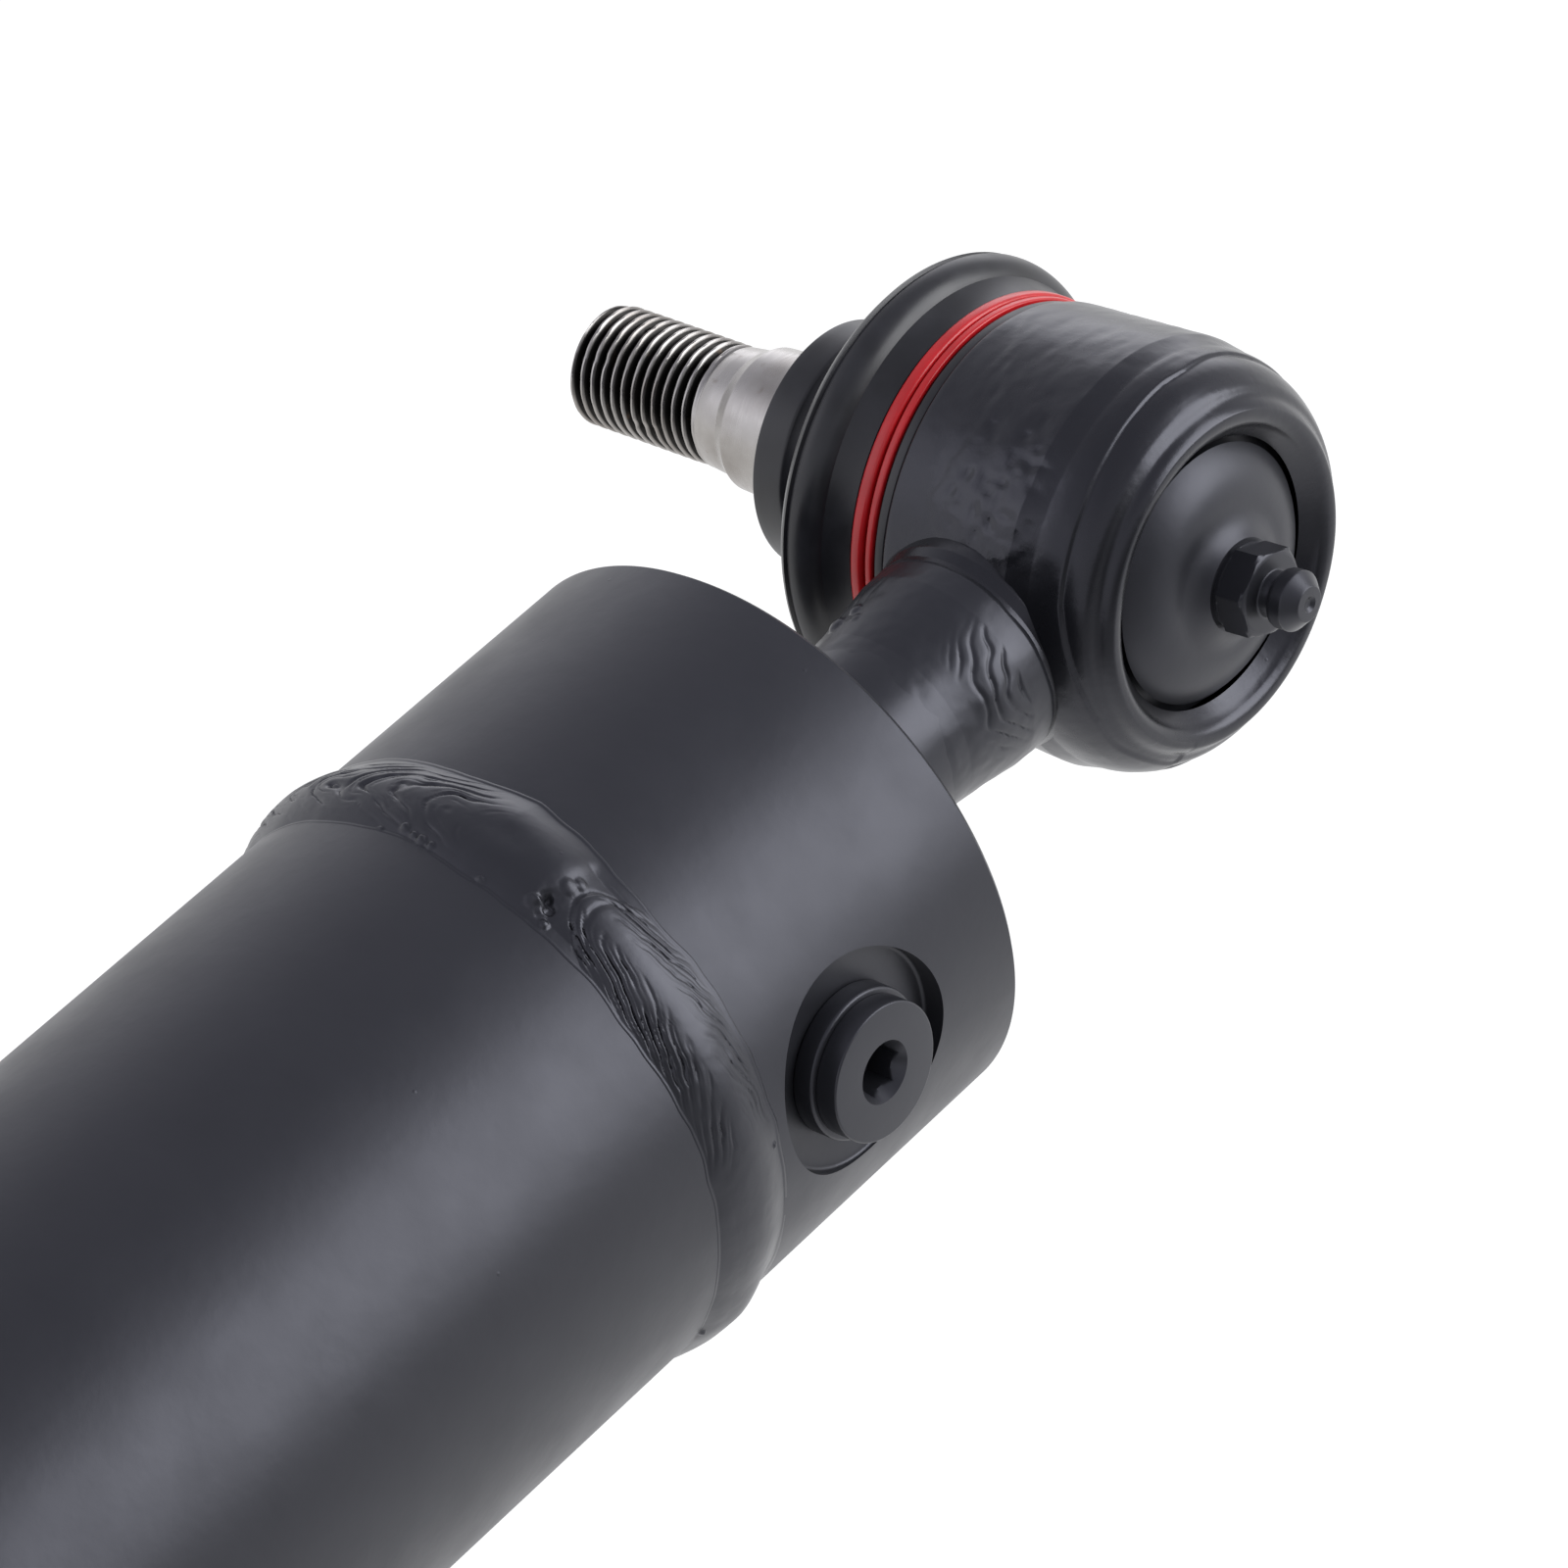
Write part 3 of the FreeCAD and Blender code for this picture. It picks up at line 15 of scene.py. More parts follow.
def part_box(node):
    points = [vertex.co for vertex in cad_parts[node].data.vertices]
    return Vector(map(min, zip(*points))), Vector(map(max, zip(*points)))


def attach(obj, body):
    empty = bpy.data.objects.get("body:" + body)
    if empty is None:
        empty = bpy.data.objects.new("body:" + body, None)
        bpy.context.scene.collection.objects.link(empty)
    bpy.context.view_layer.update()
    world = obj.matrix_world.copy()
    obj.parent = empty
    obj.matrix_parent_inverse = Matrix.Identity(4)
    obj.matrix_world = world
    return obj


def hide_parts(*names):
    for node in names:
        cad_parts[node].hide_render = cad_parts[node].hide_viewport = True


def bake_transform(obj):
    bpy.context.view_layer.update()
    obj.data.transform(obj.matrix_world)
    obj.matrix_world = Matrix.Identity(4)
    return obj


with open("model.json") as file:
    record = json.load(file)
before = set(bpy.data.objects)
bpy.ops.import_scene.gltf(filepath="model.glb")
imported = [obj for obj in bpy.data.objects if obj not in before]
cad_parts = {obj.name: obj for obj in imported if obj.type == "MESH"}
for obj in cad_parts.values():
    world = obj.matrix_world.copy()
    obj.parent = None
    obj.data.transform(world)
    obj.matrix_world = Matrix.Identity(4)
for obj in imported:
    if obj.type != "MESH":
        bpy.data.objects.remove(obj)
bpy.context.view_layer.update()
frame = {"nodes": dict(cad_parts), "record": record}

bl_info = {
    "name": "Steering Cylinder",
    "version": (1, 0, 0),
    "blender": (4, 5, 0),
    "location": "View3D > Sidebar > Steering Cylinder",
    "description": "Dresses a packed steering cylinder with paint, welds, rubber, threads and light",
    "category": "Object",
}

MM = 0.001
TUBE_LOW, TUBE_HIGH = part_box("barrel_tube")
AXIS_Y = (TUBE_LOW.y + TUBE_HIGH.y) / 2 / MM
TURN = 2 * math.pi

# In millimetres along the cylinder, from its axis, or along a weld to the degree
CLOSED_LENGTH = 510.0
BASE_PORT_X = 79.0
BASE_SEAT = 30.6
HEAD_PORT_X = 375.0
HEAD_SEAT = 45.0
WELD_RADIUS = 34
WELD_ARC = 0.593
STEM_RADIUS = 12
STEM_ARC = 0.21

# The rolled rim of a housing, from its ball centre
ROLL_ACROSS = 13.3
ROLL_UP = 9.1
ROLL_RADIUS = 9.85

# Where the wound ring starts, in radians round the stud
RING_START = 2.285

ROUNDING_STEPS = 5
SHARP_EDGE = 32


# Outlines and meshes

def bow(start, end, radius, side, count=10):
    """Points of the short arc from start to end, its centre left of the way for side 1."""
    start = np.array(start, float)
    end = np.array(end, float)
    middle = (start + end) / 2
    way = end - start
    half = np.hypot(*way) / 2
    rise = math.sqrt(max(radius * radius - half * half, 0))
    left = np.array([-way[1], way[0]]) / (2 * half)
    centre = middle + left * rise * side
    first = math.atan2(*(start - centre)[::-1])
    last = math.atan2(*(end - centre)[::-1])
    if side > 0 and last < first:
        last += TURN
    if side < 0 and last > first:
        last -= TURN
    angles = np.linspace(first, last, count + 2)
    return [tuple(centre + radius * np.array([math.cos(a), math.sin(a)])) for a in angles]


def eased(corners, closed=True):
    """An outline with rounded corners: a corner is (a, b) or (a, b, rounding)."""
    count = len(corners)
    points = []
    for index, corner in enumerate(corners):
        here = np.array(corner[:2], float)
        rounding = corner[2] if len(corner) > 2 else 0
        ends = index in (0, count - 1) and not closed
        if not rounding or ends:
            points.append(here)
            continue
        before = np.array(corners[index - 1][:2], float) - here
        after = np.array(corners[(index + 1) % count][:2], float) - here
        long_before, long_after = np.hypot(*before), np.hypot(*after)
        before /= long_before
        after /= long_after
        half = math.acos(np.clip(before @ after, -1, 1)) / 2
        run = min(rounding / math.tan(half), long_before * 0.49, long_after * 0.49)
        radius = run * math.tan(half)
        middle = before + after
        centre = here + middle / np.hypot(*middle) * radius / math.sin(half)
        first = here + before * run - centre
        last = here + after * run - centre
        spread = math.atan2(first[0] * last[1] - first[1] * last[0], first @ last)
        for step in range(ROUNDING_STEPS + 1):
            turn = spread * step / ROUNDING_STEPS
            spin = np.array([[math.cos(turn), -math.sin(turn)], [math.sin(turn), math.cos(turn)]])
            points.append(centre + spin @ first)
    return np.array(points)


def filled(points, step, closed=True):
    """The outline with long runs divided to about one step."""
    result = []
    count = len(points)
    for index in range(count if closed else count - 1):
        start = points[index]
        end = points[(index + 1) % count]
        parts = max(1, int(np.hypot(*(end - start)) / step + 0.5))
        for part in range(parts):
            result.append(start + (end - start) * part / parts)
    if not closed:
        result.append(points[-1])
    return np.array(result)


def grain(points, size, seed=0):
    """Smooth noise from -1 to 1 at points in millimetres, with lumps of about that size."""
    place = points / size + seed * 17.31
    cell = np.floor(place).astype(np.int64)
    part = place - cell
    fade = part * part * (3 - 2 * part)
    total = np.zeros(points.shape[:-1])
    for corner in range(8):
        offset = np.array([corner & 1, corner >> 1 & 1, corner >> 2 & 1])
        at = cell + offset
        key = (at[..., 0] * 73856093) ^ (at[..., 1] * 19349663) ^ (at[..., 2] * 83492791)
        key = (key * 1103515245 + 12345) & 0x7FFFFFFF
        key = ((key >> 7) * 69069 + 1) & 0x7FFFFFFF
        value = (key >> 9 & 0xFFFF) / 32767.5 - 1
        weight = np.prod(np.where(offset, fade, 1 - fade), axis=-1)
        total += value * weight
    return total


def rough(points, size, seed=0, octaves=3):
    """Several sizes of grain added up."""
    total = 0
    for octave in range(octaves):
        total = total + grain(points, size / 2 ** octave, seed + octave) / 2 ** octave
    return total


def unit(value):
    """The value kept between 0 and 1."""
    return np.clip(value, 0, 1)


def hump(value, centre, width):
    """1 at the centre, fading to 0 about two widths away."""
    return np.exp(-((value - centre) / width) ** 2)


def soft_step(value, width):
    """0 well below zero and 1 well above it."""
    return 0.5 + 0.5 * np.tanh(value / width)


def place_about(axis, along, radius, angle):
    """Points at places along, radii from and angles round the axis X or Y."""
    first = radius * np.cos(angle)
    second = radius * np.sin(angle)
    order = (along, first, second) if axis == "X" else (first, along, second)
    return np.stack(order, -1)


def strip_faces(count, segments, closed=True):
    """Faces between rings of points, and from the last ring to the first if closed."""
    faces = []
    for row in range(count if closed else count - 1):
        low = row * segments
        high = (row + 1) % count * segments
        for step in range(segments):
            after = (step + 1) % segments
            faces.append((low + step, low + after, high + after, high + step))
    return faces


def mesh_piece(name, points, faces, sharp=SHARP_EDGE):
    """An object from points in millimetres about the cylinder's axis, faces outward."""
    mesh = bpy.data.meshes.new(name)
    placed = np.array(points, float) + np.array([0, AXIS_Y, 0])
    mesh.from_pydata((placed * MM).tolist(), [], faces)
    work = bmesh.new()
    work.from_mesh(mesh)
    bmesh.ops.recalc_face_normals(work, faces=work.faces)
    if work.calc_volume(signed=True) < 0:
        bmesh.ops.reverse_faces(work, faces=work.faces)
    work.to_mesh(mesh)
    work.free()
    mesh.shade_smooth()
    mesh.set_sharp_from_angle(angle=math.radians(sharp))
    piece = bpy.data.objects.new(name, mesh)
    bpy.context.scene.collection.objects.link(piece)
    return piece


def turned_points(outline, axis, segments, shape=None):
    """Points and faces of an outline of (along, radius) turned about X or Y."""
    outline = np.asarray(outline, float)
    closed = not (outline[0, 1] < 1e-6 and outline[-1, 1] < 1e-6)
    rows = outline if closed else outline[1:-1]
    along = np.repeat(rows[:, :1], segments, 1)
    radius = np.repeat(rows[:, 1:], segments, 1)
    angle = np.repeat((np.arange(segments) * TURN / segments)[None], len(rows), 0)
    if shape:
        along, radius = shape(along, radius, angle)
    points = place_about(axis, along, radius, angle).reshape(-1, 3)
    count = len(rows)
    faces = strip_faces(count, segments, closed)
    if not closed:
        poles = np.zeros((2, 3))
        poles[:, 0 if axis == "X" else 1] = outline[0, 0], outline[-1, 0]
        start = len(points)
        points = np.concatenate([points, poles])
        last = (count - 1) * segments
        for step in range(segments):
            after = (step + 1) % segments
            faces.append((start, after, step))
            faces.append((start + 1, last + step, last + after))
    return points, faces


def turned(name, outline, axis, segments, shape=None, far_end=False, sharp=SHARP_EDGE, bend=None):
    """An outline turned about X or Y, at the base end or swung round to the rod end."""
    points, faces = turned_points(outline, axis, segments, shape)
    if bend:
        points = bend(points)
    if far_end:
        points = points * np.array([-1, 1, -1]) + np.array([CLOSED_LENGTH, 0, 0])
    return mesh_piece(name, points, faces, sharp)


def slide(piece, along):
    """Move a piece's points along the cylinder."""
    piece.data.transform(Matrix.Translation((along * MM, 0, 0)))


def hexagon(flats, angle):
    """Radius of a hexagon at an angle, corners at multiples of 60 degrees."""
    return flats / 2 / np.cos(angle % (math.pi / 3) - math.pi / 6)


def carve(piece, tool, operation="DIFFERENCE"):
    """Cut a tool out of a piece, or join it, and delete the tool."""
    cut = piece.modifiers.new("Carve", "BOOLEAN")
    cut.operation = operation
    cut.solver = "EXACT"
    cut.object = tool
    apply_all(piece)
    bpy.data.objects.remove(tool)


def apply_all(piece):
    """Turn the piece with its modifiers into a plain mesh."""
    graph = bpy.context.evaluated_depsgraph_get()
    graph.update()
    mesh = bpy.data.meshes.new_from_object(piece.evaluated_get(graph))
    mesh.name = piece.name
    piece.modifiers.clear()
    piece.data = mesh
    mesh.shade_smooth()
    mesh.set_sharp_from_angle(angle=math.radians(SHARP_EDGE))


def finish(piece, material, body, slot, *nodes):
    """Give a piece its material, body and the CAD nodes that it stands for; the slot is not used."""
    piece.data.materials.clear()
    piece.data.materials.append(MATERIALS[material])
    if nodes:
        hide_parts(*nodes)
    if body:
        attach(piece, body)
    return piece


# Materials

def new_material(name):
    material = bpy.data.materials.new(name)
    material.use_nodes = True
    return material, material.node_tree, material.node_tree.nodes["Principled BSDF"]


def feed(tree, socket, value):
    """Link an output to an input, or set the input to a plain value."""
    if isinstance(value, bpy.types.NodeSocket):
        tree.links.new(value, socket)
    else:
        socket.default_value = value


def fill_in(tree, node, **values):
    """Set a node's settings (lower case) and inputs (by name with spaces as underscores)."""
    for name, value in values.items():
        if name[0].isupper():
            feed(tree, node.inputs[name.replace("_", " ")], value)
        else:
            setattr(node, name, value)
    return node


def add(tree, kind, **values):
    return fill_in(tree, tree.nodes.new(kind), **values)


def calc(tree, operation, *values):
    """A maths node on numbers or outputs."""
    node = add(tree, "ShaderNodeMath", operation=operation)
    for socket, value in zip(node.inputs, values):
        feed(tree, socket, value)
    return node.outputs[0]


def vector_value(tree, operation, first, second):
    """A number from two vectors."""
    node = add(tree, "ShaderNodeVectorMath", operation=operation)
    feed(tree, node.inputs[0], first)
    feed(tree, node.inputs[1], second)
    return node.outputs["Value"]


def smooth_range(tree, value, start, end, low=0.0, high=1.0):
    """A value that goes softly from low to high between start and end."""
    node = add(tree, "ShaderNodeMapRange", interpolation_type="SMOOTHSTEP", Value=value,
               From_Min=start, From_Max=end, To_Min=low, To_Max=high)
    return node.outputs["Result"]


def object_noise(tree, scale, detail=2.0, stretch=(1, 1, 1), roughness=0.5):
    place = add(tree, "ShaderNodeTexCoord")
    moved = add(tree, "ShaderNodeMapping", Vector=place.outputs["Object"], Scale=stretch)
    noise = add(tree, "ShaderNodeTexNoise", Vector=moved.outputs["Vector"], Scale=scale,
                Detail=detail, Roughness=roughness)
    return noise.outputs["Fac"]


def ramp(tree, source, stops):
    """Colours or greys along a source, as (place, colour or grey)."""
    node = add(tree, "ShaderNodeValToRGB", Fac=source)
    bar = node.color_ramp
    while len(bar.elements) < len(stops):
        bar.elements.new(0.5)
    for element, (place, colour) in zip(bar.elements, stops):
        element.position = place
        element.color = (*(colour if isinstance(colour, tuple) else (colour,) * 3), 1)
    return node.outputs["Color"]


def clouded(tree, cloud, colour, dark, light, edge=0.35):
    """The colour from a darker to a lighter tone across the cloud."""
    return ramp(tree, cloud, [(edge, tuple(part * dark for part in colour)),
                              (1 - edge, tuple(part * light for part in colour))])


def mixed(tree, share, first, second):
    """A share of the second colour over the first."""
    node = add(tree, "ShaderNodeMix", data_type="RGBA", Factor=share)
    feed(tree, node.inputs[6], first)
    feed(tree, node.inputs[7], (*second, 1))
    return node.outputs[2]


def bump_chain(tree, shader, layers):
    """Bump layers from (height output, strength, distance in millimetres)."""
    last = None
    for height, strength, distance in layers:
        bump = add(tree, "ShaderNodeBump", Strength=strength, Distance=distance * MM,
                   Height=height)
        if last:
            feed(tree, bump.inputs["Normal"], last)
        last = bump.outputs["Normal"]
    feed(tree, shader.inputs["Normal"], last)


def specks(tree, size, share):
    """Small round dots, one in some cells of the given size in millimetres."""
    place = add(tree, "ShaderNodeTexCoord")
    cells = add(tree, "ShaderNodeTexVoronoi", Vector=place.outputs["Object"],
                Scale=1 / (size * MM), Randomness=1.0)
    dot = ramp(tree, cells.outputs["Distance"], [(0.0, 1), (share, 0)])
    choose = add(tree, "ShaderNodeSeparateColor", Color=cells.outputs["Color"])
    some = ramp(tree, choose.outputs["Red"], [(0.70, 0), (0.72, 1)])
    return calc(tree, "MULTIPLY", dot, some)


def paint(name, colour, roughness, peel, lumps, pool=None):
    """Satin paint with orange peel, dust specks, uneven gloss and maybe one glossy pool."""
    material, tree, shader = new_material(name)
    tone = clouded(tree, object_noise(tree, 60, 3), colour, 0.88, 1.15, 0.3)
    haze = object_noise(tree, 140, 4)
    gloss = ramp(tree, haze, [(0.3, roughness - 0.03), (0.7, roughness + 0.04)])
    if pool:
        place = add(tree, "ShaderNodeTexCoord")
        away = vector_value(tree, "DISTANCE", place.outputs["Object"], pool)
        ragged = calc(tree, "MULTIPLY", object_noise(tree, 1 / (3 * MM), 3), 0.012)
        reach = calc(tree, "MULTIPLY", calc(tree, "ADD", away, ragged), 50)
        gloss = calc(tree, "MULTIPLY", gloss, ramp(tree, reach, [(0.62, 0.17), (0.72, 1)]))
        gloss = calc(tree, "MAXIMUM", gloss, roughness * 0.5)
    fill_in(tree, shader, Base_Color=tone, Roughness=gloss, Specular_IOR_Level=0.56,
            Specular_Tint=(0.87, 0.88, 1.0, 1))
    layers = [
        (object_noise(tree, 1 / (1.6 * MM), 3), peel, 0.10),
        (object_noise(tree, 1 / (0.5 * MM), 2), peel * 0.6, 0.012),
        (specks(tree, 5.0, 0.05), 0.6, 0.05),
    ]
    if lumps:
        layers.insert(0, (object_noise(tree, 1 / (4.5 * MM), 4, roughness=0.6), lumps, 0.3))
    bump_chain(tree, shader, layers)
    return material


def rubber(name, colour, roughness):
    """Dull rubber with a fine grain and a few specks of dust."""
    material, tree, shader = new_material(name)
    cloud = object_noise(tree, 220, 4)
    gloss = ramp(tree, cloud, [(0.3, roughness - 0.04), (0.7, roughness + 0.06)])
    fill_in(tree, shader, Base_Color=clouded(tree, cloud, colour, 0.8, 1.3), Roughness=gloss)
    bump_chain(tree, shader, [
        (object_noise(tree, 1 / (0.35 * MM), 3), 0.25, 0.012),
        (specks(tree, 3.5, 0.06), 0.5, 0.03),
    ])
    return material


def metal(name, colour, roughness, lines, stretch, tint=None):
    """Bare metal with fine turning lines along the given stretch."""
    material, tree, shader = new_material(name)
    warm = tint or tuple(part * 0.86 for part in colour)
    shade = ramp(tree, object_noise(tree, 90, 4), [(0.38, warm), (0.62, colour)])
    fine = object_noise(tree, 900, 3, stretch)
    gloss = ramp(tree, fine, [(0.3, roughness - 0.06), (0.7, roughness + 0.08)])
    fill_in(tree, shader, Metallic=1.0, Base_Color=shade, Roughness=gloss)
    bump_chain(tree, shader, [(fine, lines, 0.02)])
    return material


def threaded_steel(name):
    """Satin steel with painted shade that makes the thread's roots dark and dull, and with paint specks
    and rust.
    """
    material, tree, shader = new_material(name)
    colour = ramp(tree, object_noise(tree, 110, 4), [(0.36, (0.27, 0.25, 0.232)),
                                                     (0.62, (0.42, 0.405, 0.39))])
    root = add(tree, "ShaderNodeAttribute", attribute_name="root")
    # Painted shade: the thread's depth, stored as root, darkens the steel to near black down in the
    # roots.
    deep = ramp(tree, root.outputs["Fac"], [(0.10, 0), (0.34, 1)])
    colour = mixed(tree, deep, colour, (0.022, 0.021, 0.020))
    rusty = ramp(tree, object_noise(tree, 420, 3), [(0.64, 0), (0.74, 0.35)])
    colour = mixed(tree, rusty, colour, (0.13, 0.085, 0.055))
    colour = mixed(tree, specks(tree, 3.0, 0.05), colour, (0.01, 0.01, 0.012))
    fine = object_noise(tree, 900, 3, (0.4, 3, 0.4))
    gloss = ramp(tree, fine, [(0.3, 0.24), (0.7, 0.36)])
    fill_in(tree, shader, Metallic=1.0, Base_Color=colour, Roughness=gloss)
    bump_chain(tree, shader, [(fine, 0.25, 0.02)])
    return material


def plastic(name, colour, roughness):
    """Smooth plastic or lacquer with a very fine grain."""
    material, tree, shader = new_material(name)
    tone = clouded(tree, object_noise(tree, 300, 3), colour, 0.85, 1)
    fill_in(tree, shader, Base_Color=tone, Roughness=roughness)
    bump_chain(tree, shader, [(object_noise(tree, 1800, 2), 0.15, 0.02)])
    return material


MATERIALS = {}


def make_materials(look):
    base = tuple(look.paint_colour)
    deep = tuple(part * 0.5 for part in base)
    MATERIALS.update({
        "black_paint": paint("Satin black paint", base, look.paint_roughness, 0.20, 0),
        "weld_paint": paint("Black paint on weld", base, look.paint_roughness - 0.06, 0.2, 0.05),
        "forged_paint": paint("Black paint on forging", deep, look.paint_roughness - 0.13, 0.3, 0.12,
                              (15.1 * MM, (AXIS_Y + 2.0) * MM, 18.0 * MM)),
        "washer_metal": paint("Black paint on fitting", base, look.paint_roughness - 0.05, 0.12, 0),
        "boot_rubber": rubber("Boot rubber", (0.012, 0.0125, 0.0155), 0.33),
        "seal_rubber": rubber("Seal rubber", (0.015, 0.015, 0.015), 0.5),
        "ring_red": plastic("Red lacquered ring", tuple(look.ring_colour), 0.28),
        "stud_steel": threaded_steel("Stud steel"),
        "bare_steel": metal("Bare steel", (0.50, 0.49, 0.47), 0.36, 0.3, (3, 0.5, 0.5)),
        "rod_chrome": metal("Hard chrome", (0.78, 0.79, 0.81), 0.16, 0.08, (4, 0.4, 0.4),
                            (0.74, 0.75, 0.77)),
        "spring_steel": metal("Spring steel", (0.28, 0.28, 0.29), 0.4, 0.3, (1, 1, 1)),
        "seal_polyurethane": plastic("Seal polyurethane", (0.03, 0.10, 0.18), 0.4),
        "seat_plastic": plastic("Seat plastic", (0.62, 0.60, 0.54), 0.45),
        "guide_plastic": plastic("Guide plastic", (0.16, 0.07, 0.025), 0.5),
    })


# Ball joint outlines, as (along Y, radius)

def flip(corners):
    """(radius, height, ...) written as (height, radius, ...)."""
    return [(corner[1], corner[0], *corner[2:]) for corner in corners]


def housing_outline():
    """The housing's wall with its rolled rim, without the boss."""
    roll = filled(np.array(bow((23.15, 9.15), (18.6, 17.4), ROLL_RADIUS, 1, 30)), 0.17, closed=False)
    lip = bow((18.6, 17.4), (16.5, 16.5), 1.9, 1, 8)[1:]
    corners = [
        (14.2, -16.2), (20.0, -16.2), (20.0, -10.7), (22.9, -10.7, 0.4), (23.7, 6.5, 1.0),
        *[tuple(point) for point in roll], *lip, (15.1, 15.12), (18.3, 15.1), (18.3, 12.7),
        (16.5, 12.7), (16.5, -8.0), (12.6, -8.0),
    ]
    return filled(eased(flip(corners)), 0.45)


def forged(height, radius, angle):
    """The forging's skin: paint edge, pitted patch, drag lines, crimp step and rolled rim."""
    place = place_about("Y", height, radius, angle)
    turn = (np.degrees(angle) + 60) % 360 - 60
    band = unit((radius - 21.2) / 1.0) * (height > -10.6)
    ragged = grain(place, 2.2, 14) * 0.5 + grain(place, 0.9, 15) * 0.25
    edge = np.interp(turn, [0, 29, 40, 56, 73, 103, 140], [-2.5, -2.8, -5.4, -3.8, -3.2, -9.8, -10.4])
    skin = soft_step(height - edge - ragged, 0.15) * 0.09
    crimp = np.interp(turn, [-60, -15, 25, 60, 80, 100, 125, 300],
                      [15.4, 15.2, 13.0, 12.7, 12.3, 12.0, 11.2, 13.5]) + grain(place, 4.0, 14) * 0.2
    before = soft_step(crimp - height, 0.16)
    patch = hump(turn, 50, 20) * soft_step(height - edge - 0.6, 0.6) * before
    patch = patch * soft_step(8.0 - height, 1.5)
    pits = unit(-grain(place, 1.2, 5)) ** 1.5 * 0.34 + rough(place, 2.6, 8) * 0.12
    drag = grain(np.stack([turn * 0.11, height * 1.0, turn * 0], -1), 0.8, 12)
    lines = drag * 0.05 * unit((turn - 65) / 20)
    skin = skin + (rough(place, 7.0, 3) * 0.06 + rough(place, 1.6, 7, 2) * 0.016 + lines) * before
    skin = skin - pits * patch
    rolled = (height > 9.2) & (radius > 17.9)
    fold = -0.34 * (1 - before) * np.exp(-np.clip(height - crimp, 0, 9) / 1.3)
    fold = fold - 0.34 * hump(height, 16.35, 0.62)
    fold = fold + grain(place, 9.0, 18) * 0.05
    move = band * skin * (height < 16) + fold * rolled
    across = np.where(rolled, (radius - ROLL_ACROSS) / ROLL_RADIUS, 1)
    up = np.where(rolled, (height - ROLL_UP) / ROLL_RADIUS, 0)
    return height + move * up, radius + move * across


def make_housing(name, node, body):
    """The base forging: a turned housing joined with the boss that carries the stem."""
    piece = turned(name, housing_outline(), "Y", 420, forged)
    boss = filled(eased([(2.0, 0), (25.0, 0), (25.0, 10.9), (25.0, 12.0), (22.6, 12.2, 0.3),
                         (21.5, 12.7, 0.8), (2.0, 12.9), (2.0, 0)], closed=False),
                  0.8, closed=False)
    tool = turned(name + "_boss", boss, "X", 144)
    hollow = eased(flip([(0, -20), (12.6, -20), (12.6, -8.0), (16.5, -8.0), (16.5, 12.7),
                         (18.3, 12.7), (18.3, 15.1), (15.9, 15.1), (15.9, 20), (0, 20)]),
                   closed=False)
    carve(tool, turned(name + "_hollow", hollow, "Y", 180))
    carve(piece, tool, "UNION")
    return finish(piece, "forged_paint", body, "forged_paint", node)


def make_cover(name, node, body, far_end):
    """A pressed cover plate, domed up to the nipple."""
    dome = bow((14.4, 15.07), (8.0, 17.92), 8.5, 1, 10)
    hollow = bow((8.0, 17.92), (5.2, 19.4), 5.0, -1, 6)[1:]
    corners = [(4.03, 17.4), (5.2, 17.4), (12.2, 12.7), (18.27, 12.7), (18.27, 15.07),
               (14.7, 15.07, 0.2), *dome, *hollow, (4.03, 19.4)]
    piece = turned(name, eased(flip(corners)), "Y", 192, None, far_end)
    return finish(piece, "black_paint", body, "black_paint", node)


def make_nipple(name, node, body, far_end):
    """A grease nipple that leans a little to one side."""
    foot = 19.4
    corners = [
        (0, foot - 4.8), (4.0, foot - 4.8), (4.0, foot), (4.7, foot), (4.7, foot + 0.5),
        (5.25, foot + 0.6), (5.25, foot + 3.7), (5.25, foot + 3.95), (4.3, foot + 4.15, 0.1),
        (2.6, foot + 4.2, 0.25), (2.4, foot + 5.5, 0.3), (3.2, foot + 5.9, 0.2),
        (3.35, foot + 6.3, 0.2), (3.35, foot + 7.7, 0.25), (1.95, foot + 9.2, 0.2),
        (0.95, foot + 9.25, 0.1), (0.5, foot + 8.9, 0.1), (0, foot + 8.8),
    ]

    def six_sided(height, radius, angle):
        rise = height - foot
        inside = (rise > 0.55) & (rise < 4.12) & (radius > 4.2)
        top = 5.25 - unit(rise - 3.7) * 1.7
        limit = np.minimum(hexagon(9.1, angle - math.radians(24)), top)
        return height, np.where(inside, np.minimum(radius, limit), radius)

    def lean(points):
        points[:, 2] += np.clip(points[:, 1] - foot, 0, 20) / 9.2 * 0.6
        return points

    outline = filled(eased(flip(corners), closed=False), 0.22, closed=False)
    piece = turned(name, outline, "Y", 192, six_sided, far_end, 28, lean)
    return finish(piece, "washer_metal", body, "black_paint", node)


def boot_outline():
    """The boot's wall from the collar on the stud to the lip on the housing."""
    waist = bow((13.2, -32.2), (13.2, -29.2), 4.0, -1, 8)
    bulge = bow((22.9, -24.24), (23.5, -18.55), 3.0, 1, 30)
    valley = bow((23.5, -18.55), (22.3, -15.6), 9.0, -1, 8)[1:]
    ridge = [(radius + 0.1 * (abs(height + 22.7) < 0.35) - 0.28 * (abs(height + 22.0) < 0.28), height)
             for radius, height in bulge]
    corners = [
        (20.03, -10.88), (20.03, -16.02), (22.7, -20.1), (23.6, -21.3), (22.7, -22.5),
        (10.7, -28.0), (10.9, -30.6), (10.9, -33.4), (8.97, -33.4), (8.97, -36.8),
        (14.0, -36.8, 0.25), (13.9, -32.9, 0.6), *waist, *ridge, *valley, (21.6, -15.35),
        (21.4, -15.35), (21.4, -12.1), (22.5, -12.1, 0.2), (22.5, -10.88, 0.15),
    ]
    return filled(eased(flip(corners)), 0.9)


